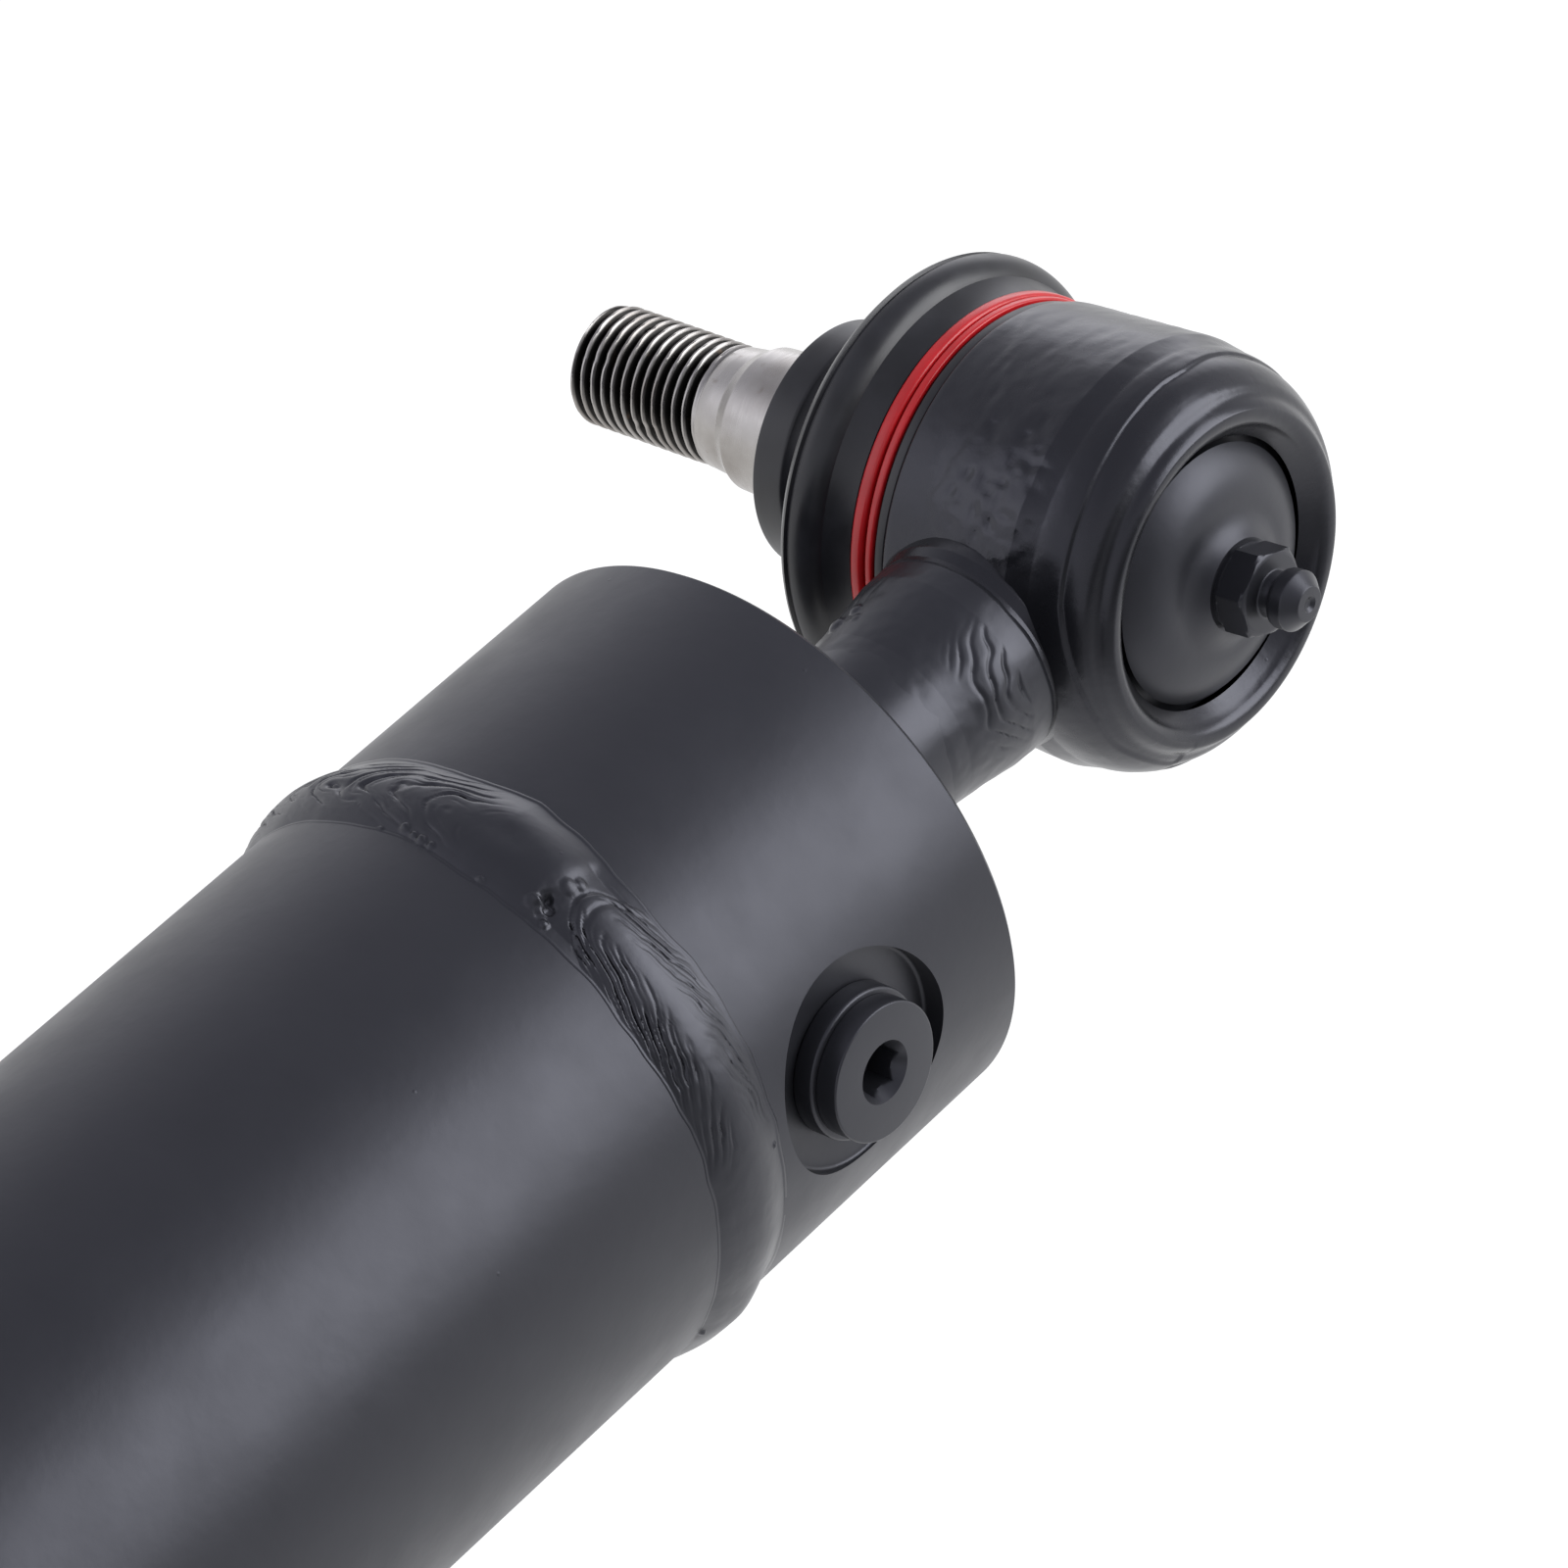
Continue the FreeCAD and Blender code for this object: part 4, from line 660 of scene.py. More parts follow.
def make_boot(name, node, far_end):
    """A boot between its housing and its stud's neck."""
    piece = turned(name, boot_outline(), "Y", 256, None, far_end)
    finish(piece, "boot_rubber", None, "boot_rubber", node)
    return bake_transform(piece)


# Geometry Nodes

def new_tree(name, sockets):
    """A geometry tree with inputs of (name, kind, default), and what they give, by name."""
    tree = bpy.data.node_groups.new(name, "GeometryNodeTree")
    for label, kind, default in [("Geometry", "Geometry", None), *sockets]:
        socket = tree.interface.new_socket(label, in_out="INPUT", socket_type="NodeSocket" + kind)
        if default is not None:
            socket.default_value = default
    tree.interface.new_socket("Geometry", in_out="OUTPUT", socket_type="NodeSocketGeometry")
    source = tree.nodes.new("NodeGroupInput")
    return tree, {socket.name: socket for socket in source.outputs}


def close_tree(tree, get, geometry):
    """End a tree: its geometry made real, with the tree's material."""
    real = add(tree, "GeometryNodeRealizeInstances", Geometry=geometry)
    skin = add(tree, "GeometryNodeSetMaterial", Geometry=real.outputs[0], Material=get["Material"])
    tree.links.new(skin.outputs[0], tree.nodes.new("NodeGroupOutput").inputs[0])
    return tree


def run_tree(piece, tree, values):
    """Run a tree on a piece with inputs by name, and keep the result as its plain mesh."""
    modifier = piece.modifiers.new("Build", "NODES")
    modifier.node_group = tree
    sockets = {item.name: item.identifier for item in tree.interface.items_tree
               if item.item_type == "SOCKET" and item.in_out == "INPUT"}
    for label, value in values.items():
        modifier[sockets[label]] = value
    apply_all(piece)


def thread_tree():
    """Cuts a thread into the turned stretch between two heights about the Y axis."""
    tree, get = new_tree("Thread", [
        ("Centre X", "Float", 0.0), ("Axis Y", "Float", 0.06055), ("Top", "Float", -0.0512),
        ("Tip", "Float", -0.071), ("Pitch", "Float", 0.0015), ("Depth", "Float", 0.00088),
        ("Half crest", "Float", 0.075), ("Flank slope", "Float", 2.75),
        ("Run-out", "Float", 0.0012), ("Material", "Material", None),
    ])
    do = partial(calc, tree)

    def clamped(value):
        return do("MINIMUM", do("MAXIMUM", value, 0.0), 1.0)

    position = add(tree, "GeometryNodeInputPosition").outputs[0]
    x, y, z = add(tree, "ShaderNodeSeparateXYZ", Vector=position).outputs
    across = do("SUBTRACT", x, get["Centre X"])
    height = do("SUBTRACT", y, get["Axis Y"])
    radius = do("SQRT", do("ADD", do("MULTIPLY", across, across), do("MULTIPLY", z, z)))
    spin = do("DIVIDE", do("ARCTAN2", z, across), TURN)
    phase = do("FRACT", do("ADD", do("DIVIDE", height, get["Pitch"]), spin))
    off_crest = do("ABSOLUTE", do("SUBTRACT", phase, 0.5))
    cut = clamped(do("MULTIPLY", do("SUBTRACT", off_crest, get["Half crest"]), get["Flank slope"]))
    fade_top = clamped(do("DIVIDE", do("SUBTRACT", get["Top"], height), get["Run-out"]))
    inside = do("GREATER_THAN", radius, 0.0048)
    past = do("GREATER_THAN", height, get["Tip"])
    depth = do("MULTIPLY", do("MULTIPLY", cut, fade_top),
               do("MULTIPLY", get["Depth"], do("MULTIPLY", inside, past)))
    keep = do("DIVIDE", do("SUBTRACT", radius, depth), do("MAXIMUM", radius, 0.0001))
    move = add(tree, "ShaderNodeCombineXYZ", Y=y, Z=do("MULTIPLY", z, keep),
               X=do("ADD", do("MULTIPLY", across, keep), get["Centre X"]))
    shift = add(tree, "GeometryNodeSetPosition", Geometry=get["Geometry"],
                Position=move.outputs[0])
    # The root depth stored here is what the stud steel uses to paint shade into the thread's roots.
    note = add(tree, "GeometryNodeStoreNamedAttribute", data_type="FLOAT", domain="POINT",
               Geometry=shift.outputs[0], Name="root", Value=do("DIVIDE", depth, get["Depth"]))
    return close_tree(tree, get, note.outputs[0])


def ring_tree():
    """Winds a flat wire round the Y axis: one turn, a jog on the far side, a slimmer turn."""
    tree, get = new_tree("Wound ring", [
        ("Radius", "Float", 0.02225), ("Turns", "Float", 1.8), ("Step", "Float", 0.00160),
        ("Lean", "Float", 0.00040), ("Wire width", "Float", 0.00155),
        ("Wire thickness", "Float", 0.0013), ("Slimmer", "Float", 0.38),
        ("Edge", "Float", 0.0004), ("Place", "Vector", (0, 0, 0)),
        ("Start angle", "Float", RING_START), ("Widest gap", "Float", RING_START),
        ("Jog start", "Float", 0.81), ("Jog end", "Float", 0.99), ("Material", "Material", None),
    ])
    do = partial(calc, tree)
    coil = add(tree, "GeometryNodeCurveSpiral", Resolution=180, Rotations=get["Turns"],
               Start_Radius=get["Radius"], End_Radius=get["Radius"], Height=0.0)
    along = add(tree, "GeometryNodeSplineParameter")
    turns = do("MULTIPLY", along.outputs["Factor"], get["Turns"])
    second = smooth_range(tree, turns, get["Jog start"], get["Jog end"])
    swing = do("COSINE", do("SUBTRACT", do("MULTIPLY", turns, TURN), get["Widest gap"]))
    shut = do("MULTIPLY", do("SUBTRACT", 1.0, swing), 0.5)
    rise = do("MULTIPLY", second, do("SUBTRACT", get["Step"], do("MULTIPLY", shut, get["Lean"])))
    lift = add(tree, "ShaderNodeCombineXYZ", Z=rise)
    shift = add(tree, "GeometryNodeSetPosition", Geometry=coil.outputs[0], Offset=lift.outputs[0])
    upright = add(tree, "GeometryNodeSetCurveNormal", mode="Z_UP", Curve=shift.outputs[0])
    wire = add(tree, "GeometryNodeCurvePrimitiveQuadrilateral", Width=get["Wire thickness"],
               Height=get["Wire width"])
    soft = add(tree, "GeometryNodeFilletCurve", mode="POLY", Curve=wire.outputs[0], Count=4,
               Radius=get["Edge"])
    slim = do("SUBTRACT", 1.0, do("MULTIPLY", second, get["Slimmer"]))
    sweep = add(tree, "GeometryNodeCurveToMesh", Curve=upright.outputs[0],
                Profile_Curve=soft.outputs[0], Scale=slim, Fill_Caps=True)
    turn = add(tree, "ShaderNodeCombineXYZ", X=math.radians(-90), Y=get["Start angle"])
    lay = add(tree, "GeometryNodeTransform", Geometry=sweep.outputs[0], Translation=get["Place"],
              Rotation=turn.outputs[0])
    return close_tree(tree, get, lay.outputs[0])


def make_stud(name, node, body, far_end):
    """A ball stud with its taper and its worn thread."""
    corners = [
        (0, 12.4), (5.34, 12.4), *bow((5.34, 12.4), (7.5, -11.22), 13.5, -1, 30)[1:],
        (7.5, -27.0, 1.0), (9.0, -30.0, 0.4), (8.2, -46.6, 0.5), (7.3, -48.2, 0.5),
        (7.02, -51.3), (6.98, -51.8), (6.98, -69.9), (5.9, -71.0, 0.15), (0, -71.0),
    ]
    outline = eased(flip(corners), closed=False)
    points = []
    for start, end in zip(outline[:-1], outline[1:]):
        fine = 0.1 if start[0] < -51 and start[1] > 5.5 else 1.5
        points += list(filled(np.array([start, end]), fine, closed=False)[:-1])
    points.append(outline[-1])

    def worn(height, radius, angle):
        place = place_about("Y", height, radius, angle)
        nick = unit(grain(place, 2.6, 4) - 0.62) * 0.5 * (height < -51.5)
        return height, radius - nick * (radius > 6.5)

    piece = turned(name, np.array(points), "Y", 160, worn, far_end, 40)
    run_tree(piece, thread_tree(), {
        "Centre X": CLOSED_LENGTH * MM if far_end else 0.0, "Axis Y": AXIS_Y * MM,
        "Material": MATERIALS["stud_steel"],
    })
    return finish(piece, "stud_steel", body, "stud_steel", node)


def make_ring(name, node, body, far_end):
    """The wound red ring that holds a boot's lip."""
    mesh = bpy.data.meshes.new(name)
    piece = bpy.data.objects.new(name, mesh)
    bpy.context.scene.collection.objects.link(piece)
    centre = CLOSED_LENGTH if far_end else 0
    run_tree(piece, ring_tree(), {
        "Place": (centre * MM, (AXIS_Y - 14.42) * MM, 0.0),
        "Start angle": RING_START + math.pi * far_end, "Material": MATERIALS["ring_red"],
    })
    return finish(piece, "ring_red", body, "ring_red", node)


# Barrel

def toward(angle, centre, width):
    """1 at an angle round the barrel, in degrees, fading to 0 a width away."""
    gap = (np.degrees(angle) - centre + 180) % 360 - 180
    return np.exp(-(gap / width) ** 2)


def stretch_of(angle, start, end, edge=6):
    """1 between two angles in degrees, with soft ends."""
    place = (np.degrees(angle) + 90) % 360 - 90
    return 1 / (1 + np.exp(-(place - start) / edge * 2)) / (1 + np.exp((place - end) / edge * 2))


def creases(phase, sharpness=4):
    """Sharp dark valleys once in each turn of the phase, 0 on top and 1 in the valley."""
    wave = np.abs((phase % 1) - 0.5) * 2
    return wave ** sharpness


# Drops and pits by the girth weld, as (degrees, place along X, size, height)
SPATTER = [
    (63.2, 100.2, 0.60, 0.30), (59.0, 100.9, 0.45, 0.35), (61.4, 98.8, 0.40, -0.80),
    (60.0, 99.5, 0.45, -0.70), (60.3, 96.6, 0.70, 0.30), (59.4, 95.4, 0.55, 0.30),
    (91.0, 100.4, 0.40, 0.40), (88.6, 100.7, 0.30, 0.30), (86.6, 100.9, 0.45, 0.45),
    (84.3, 101.0, 0.35, 0.30), (95.8, 101.3, 0.30, 0.30), (72.5, 101.5, 0.35, 0.30),
    (-36.0, 102.8, 0.30, 0.30), (1.0, 93.2, 0.25, 0.22),
]


def make_girth_weld():
    """Two beads: one ends in a smooth pool over the round nose of the next."""
    rows = 100
    degrees = np.concatenate([np.arange(-60, 140, 0.42), np.arange(140, 300, 1.0)])
    angles = np.radians(degrees)
    share, turn = np.meshgrid(np.linspace(-1, 1, rows), degrees, indexing="ij")
    angle = np.radians(turn)
    arc = turn * WELD_ARC
    ring = place_about("X", angle * 0, WELD_RADIUS, angle)[..., [1, 2, 0]]
    marks = [-60, -32, -6, 15, 43, 57, 64, 76, 86, 100, 130, 200, 300]
    centre = np.interp(turn, marks, [98.4, 98.4, 97.5, 96.9, 96.9, 96.7, 96.4, 96.1, 96.2, 96.3,
                                     96.2, 96.6, 98.4])
    half = np.interp(turn, marks, [4.6, 4.5, 4.5, 4.6, 4.6, 4.7, 5.3, 5.6, 5.0, 4.8, 4.8, 4.8, 4.6])
    edge = grain(ring, 3.0, 23) * 0.22 + grain(ring, 8.0, 24) * 0.2
    half = half * 1.04 + edge * np.abs(share)
    along = centre + share * half
    place = place_about("X", along, WELD_RADIUS, angle)
    wander = grain(place * np.array([1.5, 1, 1]), 3.2, 31) + grain(place, 1.2, 33) * 0.3
    crown = np.interp(turn, marks, [1.2, 1.25, 1.05, 1.05, 1.2, 1.3, 1.7, 1.8, 1.4, 1.35, 1.5, 1.3,
                                    1.2])
    toe = np.where(share < 0, 1.35, 1.0)
    profile = unit(1 - share ** 2) ** toe
    height = crown * profile
    bent = np.abs(share) ** 1.8
    lead = 58.3 * WELD_ARC - arc
    behind = lead - 5.5 * bent + wander * 0.3
    nose = soft_step(behind, 0.18) * (turn < 62)
    low = 1 - soft_step(turn - 61, 1.2)
    height -= low * (1 - nose) * 0.50 * unit(profile * 2.5)
    height -= hump(behind, 0.1, 0.32) * 0.30 * low * unit(profile * 2)
    height -= hump(behind, 1.9, 0.30) * 0.16 * low * unit(profile * 2)
    patchy = np.clip(0.75 + grain(place * np.array([1.6, 1, 1]), 2.4, 61) * 1.1, 0.1, 1.6)
    hair = unit((np.abs(share) - 0.12) * 2.0) * np.where(share > 0, patchy, 0.35)
    window = stretch_of(angle, 10, 60, 3) * nose
    trail = lead - 15 * np.abs(share) ** 1.6
    wave = creases((trail + wander * 2.0) / 3.4, 7)
    height -= wave * hair * window * 0.52 * unit(profile * 3)
    fine = creases((trail * 1.9 + wander * 3.6) / 3.1, 5)
    height -= fine * hair * window * 0.20 * unit(profile * 3)
    upper = stretch_of(angle, 84, 215, 4)
    crescent = (arc + 13 * np.abs(share - 0.15) ** 1.6 + wander * 2.2) / 4.2
    strong = np.clip(1.0 - (share - 0.1) * 1.1, 0.25, 1) * patchy
    height -= creases(crescent, 6) * upper * 0.40 * strong * unit(profile * 1.6)
    height -= creases(crescent * 2.3 + 0.3 + wander * 0.2) * upper * 0.12 * strong * profile
    far = stretch_of(angle, 215, 330, 6)
    height -= creases((arc + 5 * bent + wander) / 2.4) * far * 0.18 * unit(profile * 2)
    height += toward(angle, -36, 4) * 0.16 * profile - toward(angle, -26, 4) * 0.12 * profile
    height -= toward(angle, 75, 5) * hump(along, 96.2, 1.9) * 0.30
    height -= hump(turn, 61.2, 1.2) * hump(along, 99.3, 1.1) * 0.6
    crumbs = hump(turn, 61, 2.2) * hump(along, 99.8, 1.4)
    height += crumbs * (grain(place, 0.6, 51) * 0.5 + grain(place, 1.2, 52) * 0.3)
    height += rough(place, 2.6, 41) * 0.03 * unit(profile * 2)
    for spot_turn, spot_along, size, rise in SPATTER:
        away = ((turn - spot_turn) * WELD_ARC) ** 2 + (along - spot_along) ** 2
        height += rise * unit(1 - away / size ** 2 / 1.6) ** 0.7
    base = 33.25 - 0.25 * unit((along - 92.5) / 8.0)
    outer = np.maximum(base + height, base - 0.05)
    outer = np.minimum(outer, 34.45 / np.maximum(np.sin(angle), 0.5))
    lines = []

    def hoop(place_x, radius):
        lines.append(place_about("X", np.zeros(len(angles)) + place_x, radius, angles))

    hoop(93.4, 30.5)
    hoop(np.minimum(92.6, along[0] - 0.5), 33.10)
    hoop(np.minimum(92.8, along[0] - 0.4), 33.26)
    hoop(along[0] - 0.12, base[0] + 0.015)
    for row in range(rows):
        hoop(along[row], outer[row])
    hoop(along[-1] + 0.12, base[-1] + 0.015)
    hoop(np.maximum(100.5, along[-1] + 0.4), 33.01)
    hoop(np.maximum(100.7, along[-1] + 0.5), 32.86)
    hoop(99.2, 30.5)
    faces = strip_faces(len(lines), len(angles))
    piece = mesh_piece("girth_weld", np.concatenate(lines), faces, 60)
    return finish(piece, "weld_paint", "barrel", "weld_paint", "barrel_weld")


def make_barrel():
    """The barrel tube with its head port."""
    tube = filled(eased([(97.7, 28), (413.9, 28), (413.9, 29.5), (416.93, 29.5), (416.93, 28),
                         (421.4, 28), (422, 28.6), (422, 32.4), (421.4, 33),
                         (100.4, 33)]), 25)
    piece = turned("barrel_tube_skin", tube, "X", 384)
    port = turned("head_port_hole", [(20, 0), (20, 5), (60, 5), (60, 0)], "Y", 64)
    slide(port, HEAD_PORT_X)
    carve(piece, port)
    finish(piece, "black_paint", "barrel", "black_paint", "barrel_tube")


def make_cap():
    """The base cap with its counterbored port."""
    cap = filled(eased([(55.6, 0), (103.5, 0), (103.5, 27.97), (94.7, 27.97), (92.9, 33.25),
                        (56.25, 33.25), (55.6, 32.6), (55.6, 0)][::-1], closed=False),
                 6, closed=False)
    piece = turned("base_cap_skin", cap, "X", 512)
    seat = BASE_SEAT
    tool = turned("port_cutter", eased([(seat - 18, 0), (seat - 12, 5), (seat - 0.35, 5),
                  (seat - 0.001, 5.35), (seat, 11.9, 0.45), (seat + 8, 11.9), (seat + 8, 0)],
                  closed=False), "Y", 200)
    slide(tool, BASE_PORT_X)
    carve(piece, tool)
    finish(piece, "black_paint", "barrel", "black_paint", "base_cap")


STEM_SPATTER = [(126, 33.5, 1.1, 0.5), (119, 31.4, 0.8, 0.3), (112, 32.8, 0.6, 0.15)]


def stem_weld_shape(along, radius, angle):
    """Ripples, spatter and a swell on the weld of the stem to the housing."""
    place = place_about("X", along, STEM_RADIUS, angle)
    turn = (np.degrees(angle) + 90) % 360 - 90
    outside = (radius > 10.7) & (along > 22.7)
    wander = grain(place, 2.2, 5)
    nested = (along + ((turn - 16) / 26) ** 2 * 2.6 + wander * 1.1) / 1.9
    facing = stretch_of(angle, -14, 50, 6) * unit((along - 26.3) / 0.8)
    facing = facing * unit((33.2 - along) / 2)
    around = stretch_of(angle, 120, 250, 10) * unit((34.0 - along) / 2)
    height = -creases(nested) * 0.24 * facing
    height -= creases((turn * STEM_ARC + (along - 29) ** 2 * 0.12 + wander * 0.4) / 1.9) * 0.16 * around
    height += rough(place, 4.5, 6) * 0.10
    height += toward(angle, 20, 26) * 0.30 * hump(along, 29.5, 2.5)
    for spot_turn, spot_along, size, rise in STEM_SPATTER:
        away = ((turn - spot_turn) * STEM_ARC) ** 2 + (along - spot_along) ** 2
        height += rise * unit(1 - away / size ** 2) ** 0.6
    fade = unit((38.9 - along) / 1.5) * unit((along - 22.7) / 0.6)
    return along, radius + np.where(outside, height * fade, 0)


def make_stem():
    """The stem between the base cap and the housing, and a weld at each end."""
    stem = filled(eased([(25.0, 0), (25.0, 10.9), (55.6, 10.9), (55.6, 0)], closed=False),
                  1.2, closed=False)

    def uneven(along, radius, angle):
        place = place_about("X", along, radius, angle)
        return along, radius + (radius > 10.8) * rough(place, 8, 8) * 0.05

    piece = turned("stem_bar", stem, "X", 160, uneven)
    finish(piece, "weld_paint", "barrel", "black_paint", "base_stem")
    crown = [(39.0, 10.85), (35.5, 11.05, 3), (31.0, 11.6, 3), (26.5, 12.2, 3), (23.6, 12.3, 0.8),
             (22.5, 12.0)]
    bead = filled(eased([(22.5, 10.95), (39.0, 10.5), *crown]), 0.17)
    piece = turned("stem_housing_bead", bead, "X", 320, stem_weld_shape, sharp=60)
    finish(piece, "weld_paint", "barrel", "weld_paint", "stem_housing_weld")
    fillet = filled(eased([(53.4, 10.7), (55.6, 10.7), (55.6, 13.1), (53.4, 11.0)]), 0.25)

    def beaded(along, radius, angle):
        place = place_about("X", along, STEM_RADIUS, angle)
        wave = creases((np.degrees(angle) * STEM_ARC + grain(place, 2, 3) * 0.4) / 1.4) * 0.15
        lump = toward(angle, 104, 7) * 1.0 + toward(angle, 120, 5) * 0.7
        return along - lump * (radius > 11.2) * 0.8, radius + np.where(radius > 10.9, lump - wave, 0)

    piece = turned("stem_cap_bead", fillet, "X", 240, beaded, sharp=60)
    finish(piece, "weld_paint", "barrel", "weld_paint", "stem_cap_weld")


def make_fittings(prefix, along, seat):
    """A socket plug and its washer, on a seat at that height above the axis."""
    under = seat + 2.5
    top = under + 2.6
    mouth = 3.39

    def six_sided(height, radius, angle):
        depth = top - height
        limit = np.maximum(hexagon(5.0, angle), mouth - depth * 0.62)
        wall = (radius < mouth - 0.001) & (radius > 2.2) & (depth < 4.3)
        return height, np.where(wall, limit, radius)

    socket = [(top, mouth), *[(top - 0.2 * row, 3.3 - 0.1 * row) for row in range(1, 8)],
              (top - 2.0, 2.6), (top - 4.2, 2.6), (top - 4.5, 1.2), (top - 4.9, 0)]
    corners = [(under - 9.0, 0), (under - 9.0, 4.4), (under - 8.4, 4.97), (under, 4.97),
               (under, 7.44, 0.2), (top, 7.44, 0.22), *socket]
    piece = turned(prefix + "_plug", eased(corners, closed=False), "Y", 192, six_sided, sharp=28)
    slide(piece, along)
    finish(piece, "washer_metal", "barrel", "black_paint", prefix + "_port_plug")
    ring = eased([(seat, 5.03), (seat, 8.06, 0.35), (under, 8.06, 0.35), (under, 5.03)])
    piece = turned(prefix + "_washer", ring, "Y", 160)
    slide(piece, along)
    finish(piece, "washer_metal", "barrel", "washer_metal", prefix + "_port_washer")


def make_head_boss():
    """The head port's boss and its weld, both cut to the tube."""
    saddle = turned("boss_saddle", [(300, 0), (300, 33.0), (450, 33.0), (450, 0)], "X", 256)
    blank = turned("head_boss", eased([(28, 5), (28, 11), (45, 11, 0.5), (45, 5, 0.3)]), "Y", 160)
    slide(blank, HEAD_PORT_X)
    copy = saddle.copy()
    copy.data = saddle.data.copy()
    bpy.context.scene.collection.objects.link(copy)
    carve(blank, saddle)
    finish(blank, "black_paint", "barrel", "black_paint", "head_port_boss")

    def beaded(height, radius, angle):
        place = place_about("Y", height, 11, angle)
        out = radius > 11.3
        wave = creases((np.degrees(angle) * 0.22 + grain(place, 2, 3) * 0.4) / 1.5) * 0.2
        return height, radius - out * wave

    fillet = filled(eased([(28, 10.8), (28, 14), (33, 14), (35.0, 12.4), (36, 11), (36, 10.8)]), 0.4)
    weld = turned("head_boss_bead", fillet, "Y", 240, beaded, sharp=60)
    slide(weld, HEAD_PORT_X)
    carve(weld, copy)
    finish(weld, "weld_paint", "barrel", "weld_paint", "head_port_weld")


def dress_nodes():
    """Procedural materials for every CAD node that still shows."""
    slots = {item["node"]: item["material_slot"] for item in frame["record"]["subparts"]}
    for name, node in frame["nodes"].items():
        if node.hide_render:
            continue
        node.data.materials.clear()
        node.data.materials.append(MATERIALS[slots[name]])


# Patches of the surroundings, as (direction, cosine where it starts, where it is full, strength)
LOBES = [
    ((0.28, 0.94, -0.10), 0.70, 0.95, 0.15),
    ((-0.82, -0.55, 0.12), 0.86, 1.00, 2.3),
    ((0.78, -0.36, 0.52), 0.60, 0.97, 1.35),
    ((0.50, -0.60, 0.63), 0.93, 0.99, 1.5),
]


def make_floor(look):
    """A pale floor with an even glow of its own, which falls off behind the object."""
    low = -0.30
    reach = 6.0
    mesh = bpy.data.meshes.new("studio_floor")
    mesh.from_pydata([(-reach, -reach, low), (reach, -reach, low), (reach, reach, low),
                      (-reach, reach, low)], [], [(0, 1, 2, 3)])
    floor = bpy.data.objects.new("studio_floor", mesh)
    bpy.context.scene.collection.objects.link(floor)
    material, tree, shader = new_material("Studio floor")
    spread = add(tree, "ShaderNodeTexCoord")
    away = vector_value(tree, "DOT_PRODUCT", spread.outputs["Object"], (0.55, 0.83, 0))
    glow = smooth_range(tree, away, 0.25, 0.75, look.floor_glow, look.floor_glow * 0.3)
    fill_in(tree, shader, Base_Color=(0.16, 0.16, 0.16, 1), Roughness=0.9,
            Specular_IOR_Level=0.0, Emission_Color=(1, 1, 1, 1), Emission_Strength=glow)
    mesh.materials.append(material)


def make_world(look):
    """Grey studio surroundings, paler below, with a dark patch and three bright ones."""
    world = bpy.data.worlds.new("Studio surroundings")
    bpy.context.scene.world = world
    world.use_nodes = True
    tree = world.node_tree
    view = add(tree, "ShaderNodeTexCoord").outputs["Generated"]
    part = add(tree, "ShaderNodeSeparateXYZ", Vector=view)
    shade = ramp(tree, part.outputs["Z"], [(0.0, (0.88, 0.88, 0.92)), (0.3, (0.8, 0.8, 0.85)),
                                           (0.6, (0.66, 0.66, 0.72)), (0.82, (0.48, 0.48, 0.54)),
                                           (1.0, (0.44, 0.44, 0.50))])
    for way, start, end, strength in LOBES:
        near = vector_value(tree, "DOT_PRODUCT", view, Vector(way).normalized())
        scale = smooth_range(tree, near, start, end, 1.0, strength)
        shade = add(tree, "ShaderNodeVectorMath", operation="SCALE", Vector=shade,
                    Scale=scale).outputs[0]
    fill_in(tree, tree.nodes["Background"], Color=shade, Strength=look.surround_light)


def make_stage(look):
    """The floor, the surroundings, one soft light and the camera."""
    scene = bpy.context.scene
    make_floor(look)
    make_world(look)
    light = bpy.data.lights.new("Softbox", "AREA")
    light.shape = "RECTANGLE"
    light.size = 0.98
    light.size_y = 0.98
    light.energy = look.softbox_power
    light.color = (0.97, 0.98, 1.0)
    lamp = bpy.data.objects.new("Softbox", light)
    scene.collection.objects.link(lamp)
    way = Vector((-0.60, 0.72, 0.35)).normalized()
    lamp.location = Vector((0.06, AXIS_Y * MM, 0.0)) + way * 1.3
    lamp.rotation_euler = (-way).to_track_quat("-Z", "Y").to_euler()
    right = Vector((-0.6353, 0.74976, -0.18509)).normalized()
    up = Vector((-0.5653, -0.28819, 0.7729)).normalized()
    forward = Vector((-0.52615, -0.59566, -0.60693)).normalized()
    camera = bpy.data.objects.new("Camera", bpy.data.cameras.new("Camera"))
    scene.collection.objects.link(camera)
    spin = Matrix((right, up, -forward)).transposed().to_4x4()
    place = Vector((0.50425, 0.51249 + AXIS_Y * MM, 0.52564))
    camera.matrix_world = Matrix.Translation(place) @ spin
    camera.data.lens = 192.29
    camera.data.sensor_width = 36
    scene.camera = camera
    scene.view_settings.view_transform = "Standard"
    scene.view_settings.look = "None"


# Add-on

class CylinderLook(bpy.types.PropertyGroup):
    paint_colour: bpy.props.FloatVectorProperty(
        name="Paint colour", description="Base colour of the black paint", subtype="COLOR",
        size=3, min=0, max=1, default=(0.0135, 0.014, 0.0165))
    paint_roughness: bpy.props.FloatProperty(
        name="Paint roughness", description="How satin the black paint is", default=0.40,
        min=0.1, max=1.0, subtype="FACTOR")
    ring_colour: bpy.props.FloatVectorProperty(
        name="Ring colour", description="Lacquer of the boot rings", subtype="COLOR",
        size=3, min=0, max=1, default=(0.56, 0.012, 0.016))


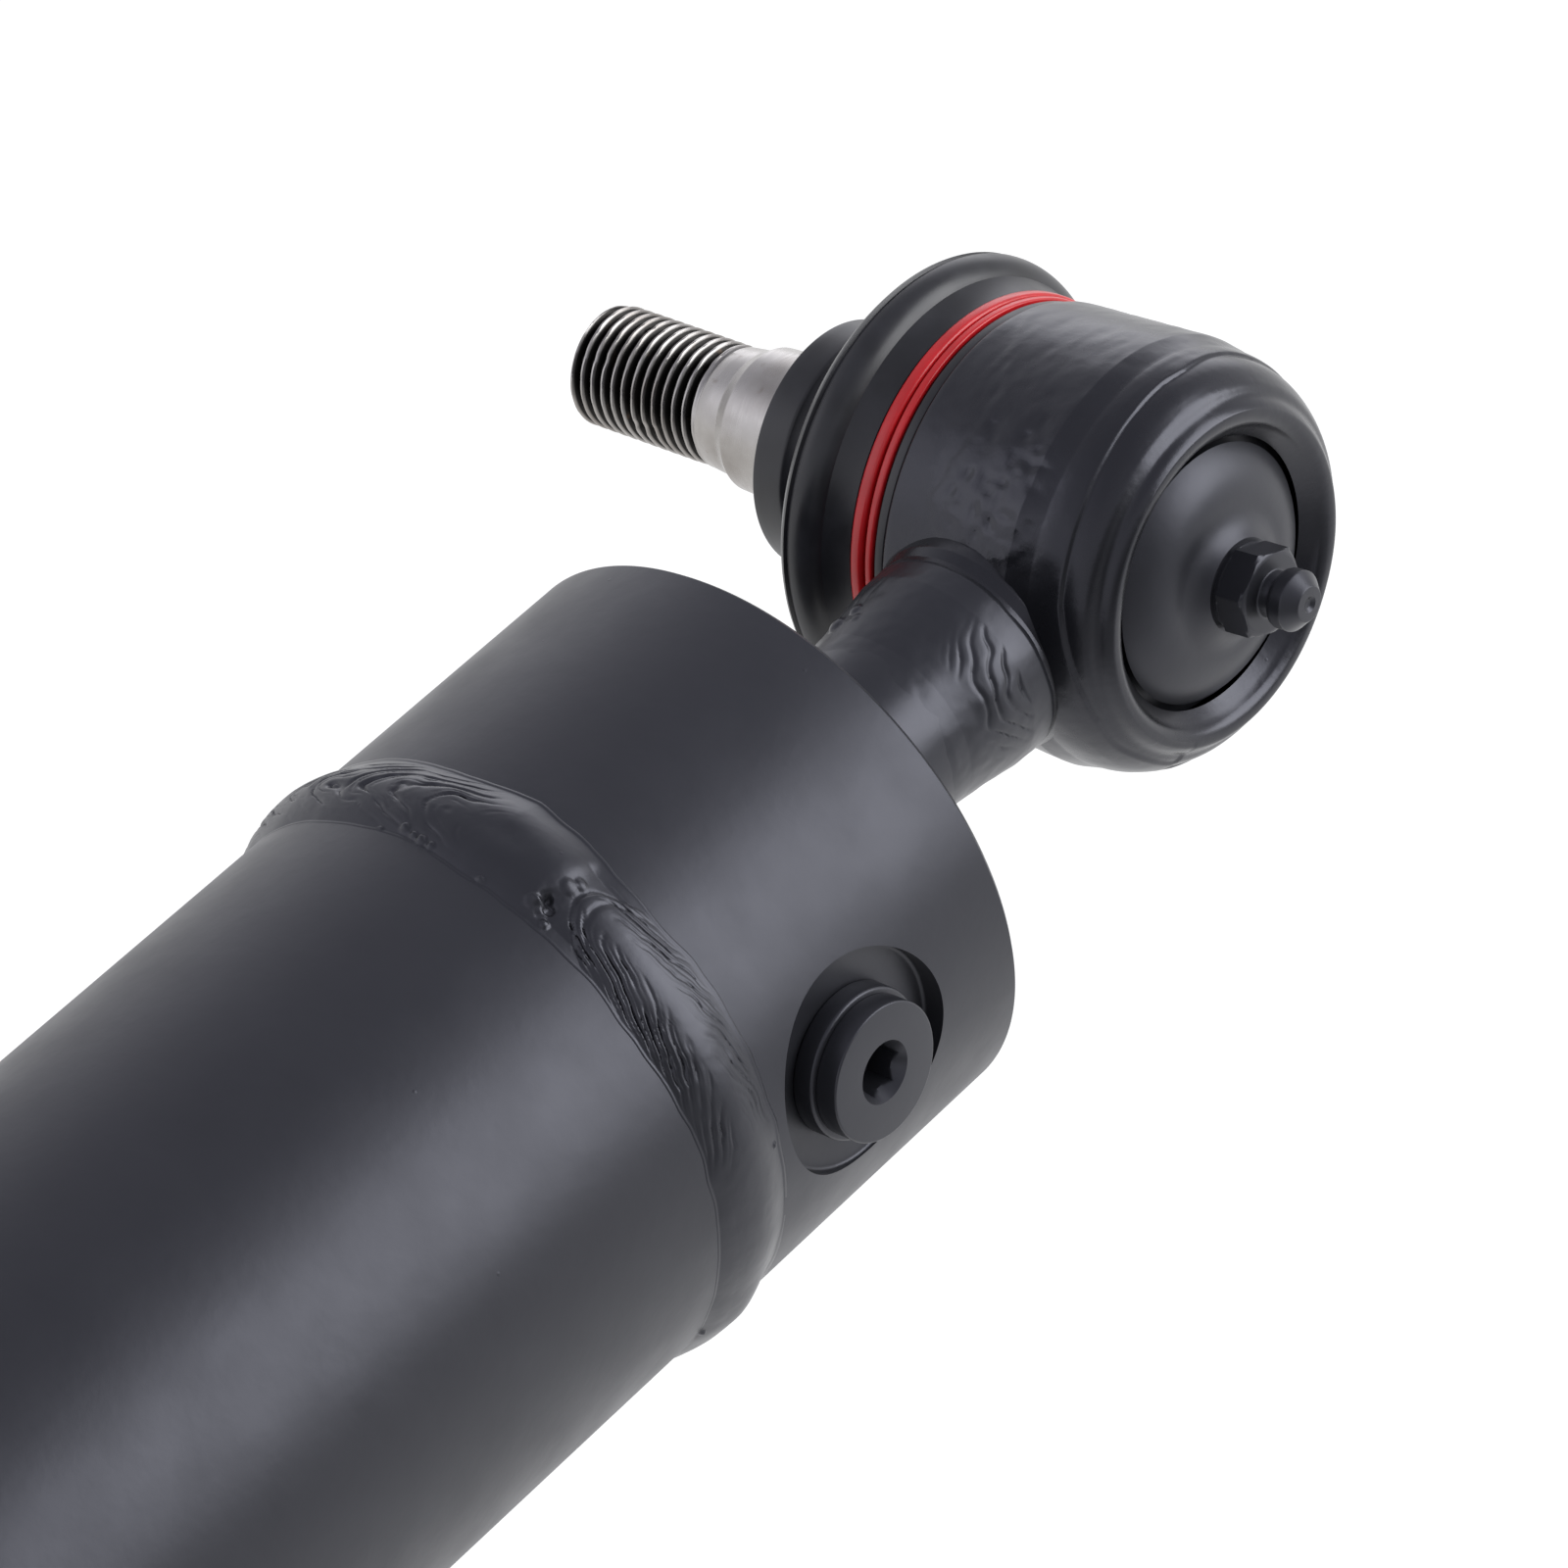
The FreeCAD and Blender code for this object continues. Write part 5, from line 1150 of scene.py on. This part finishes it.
class StudioLook(bpy.types.PropertyGroup):
    softbox_power: bpy.props.FloatProperty(
        name="Softbox power", description="Power of the soft light", default=14.2,
        min=0, max=500, unit="POWER")
    surround_light: bpy.props.FloatProperty(
        name="Surround light", description="Brightness of the studio around the object",
        default=1.0, min=0, max=10)
    floor_glow: bpy.props.FloatProperty(
        name="Floor glow", description="Brightness that the pale floor adds by itself",
        default=0.93, min=0, max=5)


ENDS = [
    ("base", False, "barrel", "base_neck", "base_stud"),
    ("rod_end", True, "rod", "rod_end_neck", "rod_end_stud"),
]


class STEERING_OT_materials(bpy.types.Operator):
    """Make the paints, rubbers, metals and plastics"""
    bl_idname = "steering.materials"
    bl_label = "Materials"

    def execute(self, context):
        make_materials(context.scene.cylinder_look)
        return {"FINISHED"}


class STEERING_OT_barrel(bpy.types.Operator):
    """Make the barrel tube, the base cap and the head port boss"""
    bl_idname = "steering.barrel"
    bl_label = "Barrel, cap and boss"

    def execute(self, context):
        make_barrel()
        make_cap()
        make_head_boss()
        return {"FINISHED"}


class STEERING_OT_welds(bpy.types.Operator):
    """Make the girth weld and the stem with its welds"""
    bl_idname = "steering.welds"
    bl_label = "Welds and stem"

    def execute(self, context):
        make_girth_weld()
        make_stem()
        return {"FINISHED"}


class STEERING_OT_fittings(bpy.types.Operator):
    """Make the port plugs and their washers"""
    bl_idname = "steering.fittings"
    bl_label = "Port plugs"

    def execute(self, context):
        make_fittings("base", BASE_PORT_X, BASE_SEAT)
        make_fittings("head", HEAD_PORT_X, HEAD_SEAT)
        return {"FINISHED"}


class STEERING_OT_housings(bpy.types.Operator):
    """Make the base forged housing, and the cover plates and grease nipples"""
    bl_idname = "steering.housings"
    bl_label = "Housings and nipples"

    def execute(self, context):
        make_housing("base_forging", "base_housing", "barrel")
        for prefix, far_end, body, neck, stud in ENDS:
            make_cover(prefix + "_cover", prefix + "_cover_plate", body, far_end)
            make_nipple(prefix + "_nipple", prefix + "_grease_nipple", body, far_end)
        return {"FINISHED"}


class STEERING_OT_boots(bpy.types.Operator):
    """Make the rubber boots and the wound red rings"""
    bl_idname = "steering.boots"
    bl_label = "Boots and rings"

    def execute(self, context):
        for prefix, far_end, body, neck, stud in ENDS:
            make_boot(prefix + "_boot_skin", prefix + "_boot", far_end)
            make_ring(prefix + "_wound_ring", prefix + "_boot_ring", body, far_end)
        return {"FINISHED"}


class STEERING_OT_studs(bpy.types.Operator):
    """Make the ball studs with their threads"""
    bl_idname = "steering.studs"
    bl_label = "Ball studs"

    def execute(self, context):
        for prefix, far_end, body, neck, stud in ENDS:
            make_stud(prefix + "_stud_forging", prefix + "_ball_stud", stud, far_end)
        return {"FINISHED"}


class STEERING_OT_nodes(bpy.types.Operator):
    """Give every CAD piece that still shows its material"""
    bl_idname = "steering.nodes"
    bl_label = "CAD pieces"

    def execute(self, context):
        dress_nodes()
        return {"FINISHED"}


class STEERING_OT_stage(bpy.types.Operator):
    """Make the pale floor, the soft light and the camera"""
    bl_idname = "steering.stage"
    bl_label = "Stage"

    def execute(self, context):
        make_stage(context.scene.studio_look)
        return {"FINISHED"}


OPERATORS = [
    STEERING_OT_materials, STEERING_OT_barrel, STEERING_OT_welds, STEERING_OT_fittings,
    STEERING_OT_housings, STEERING_OT_boots, STEERING_OT_studs, STEERING_OT_nodes,
    STEERING_OT_stage,
]


class STEERING_PT_panel(bpy.types.Panel):
    bl_label = "Steering Cylinder"
    bl_idname = "STEERING_PT_panel"
    bl_space_type = "VIEW_3D"
    bl_region_type = "UI"
    bl_category = "Steering Cylinder"

    def draw(self, context):
        for group in (context.scene.cylinder_look, context.scene.studio_look):
            for name in group.bl_rna.properties.keys():
                if name not in ("rna_type", "name"):
                    self.layout.prop(group, name)
        for operator in OPERATORS:
            self.layout.operator(operator.bl_idname)


CLASSES = [CylinderLook, StudioLook, *OPERATORS, STEERING_PT_panel]


def register():
    for item in CLASSES:
        bpy.utils.register_class(item)
    bpy.types.Scene.cylinder_look = bpy.props.PointerProperty(type=CylinderLook)
    bpy.types.Scene.studio_look = bpy.props.PointerProperty(type=StudioLook)


def unregister():
    del bpy.types.Scene.cylinder_look
    del bpy.types.Scene.studio_look
    for item in reversed(CLASSES):
        bpy.utils.unregister_class(item)


def main():
    register()
    for operator in OPERATORS:
        group, action = operator.bl_idname.split(".")
        getattr(getattr(bpy.ops, group), action)()


if __name__ == "__main__":
    main()
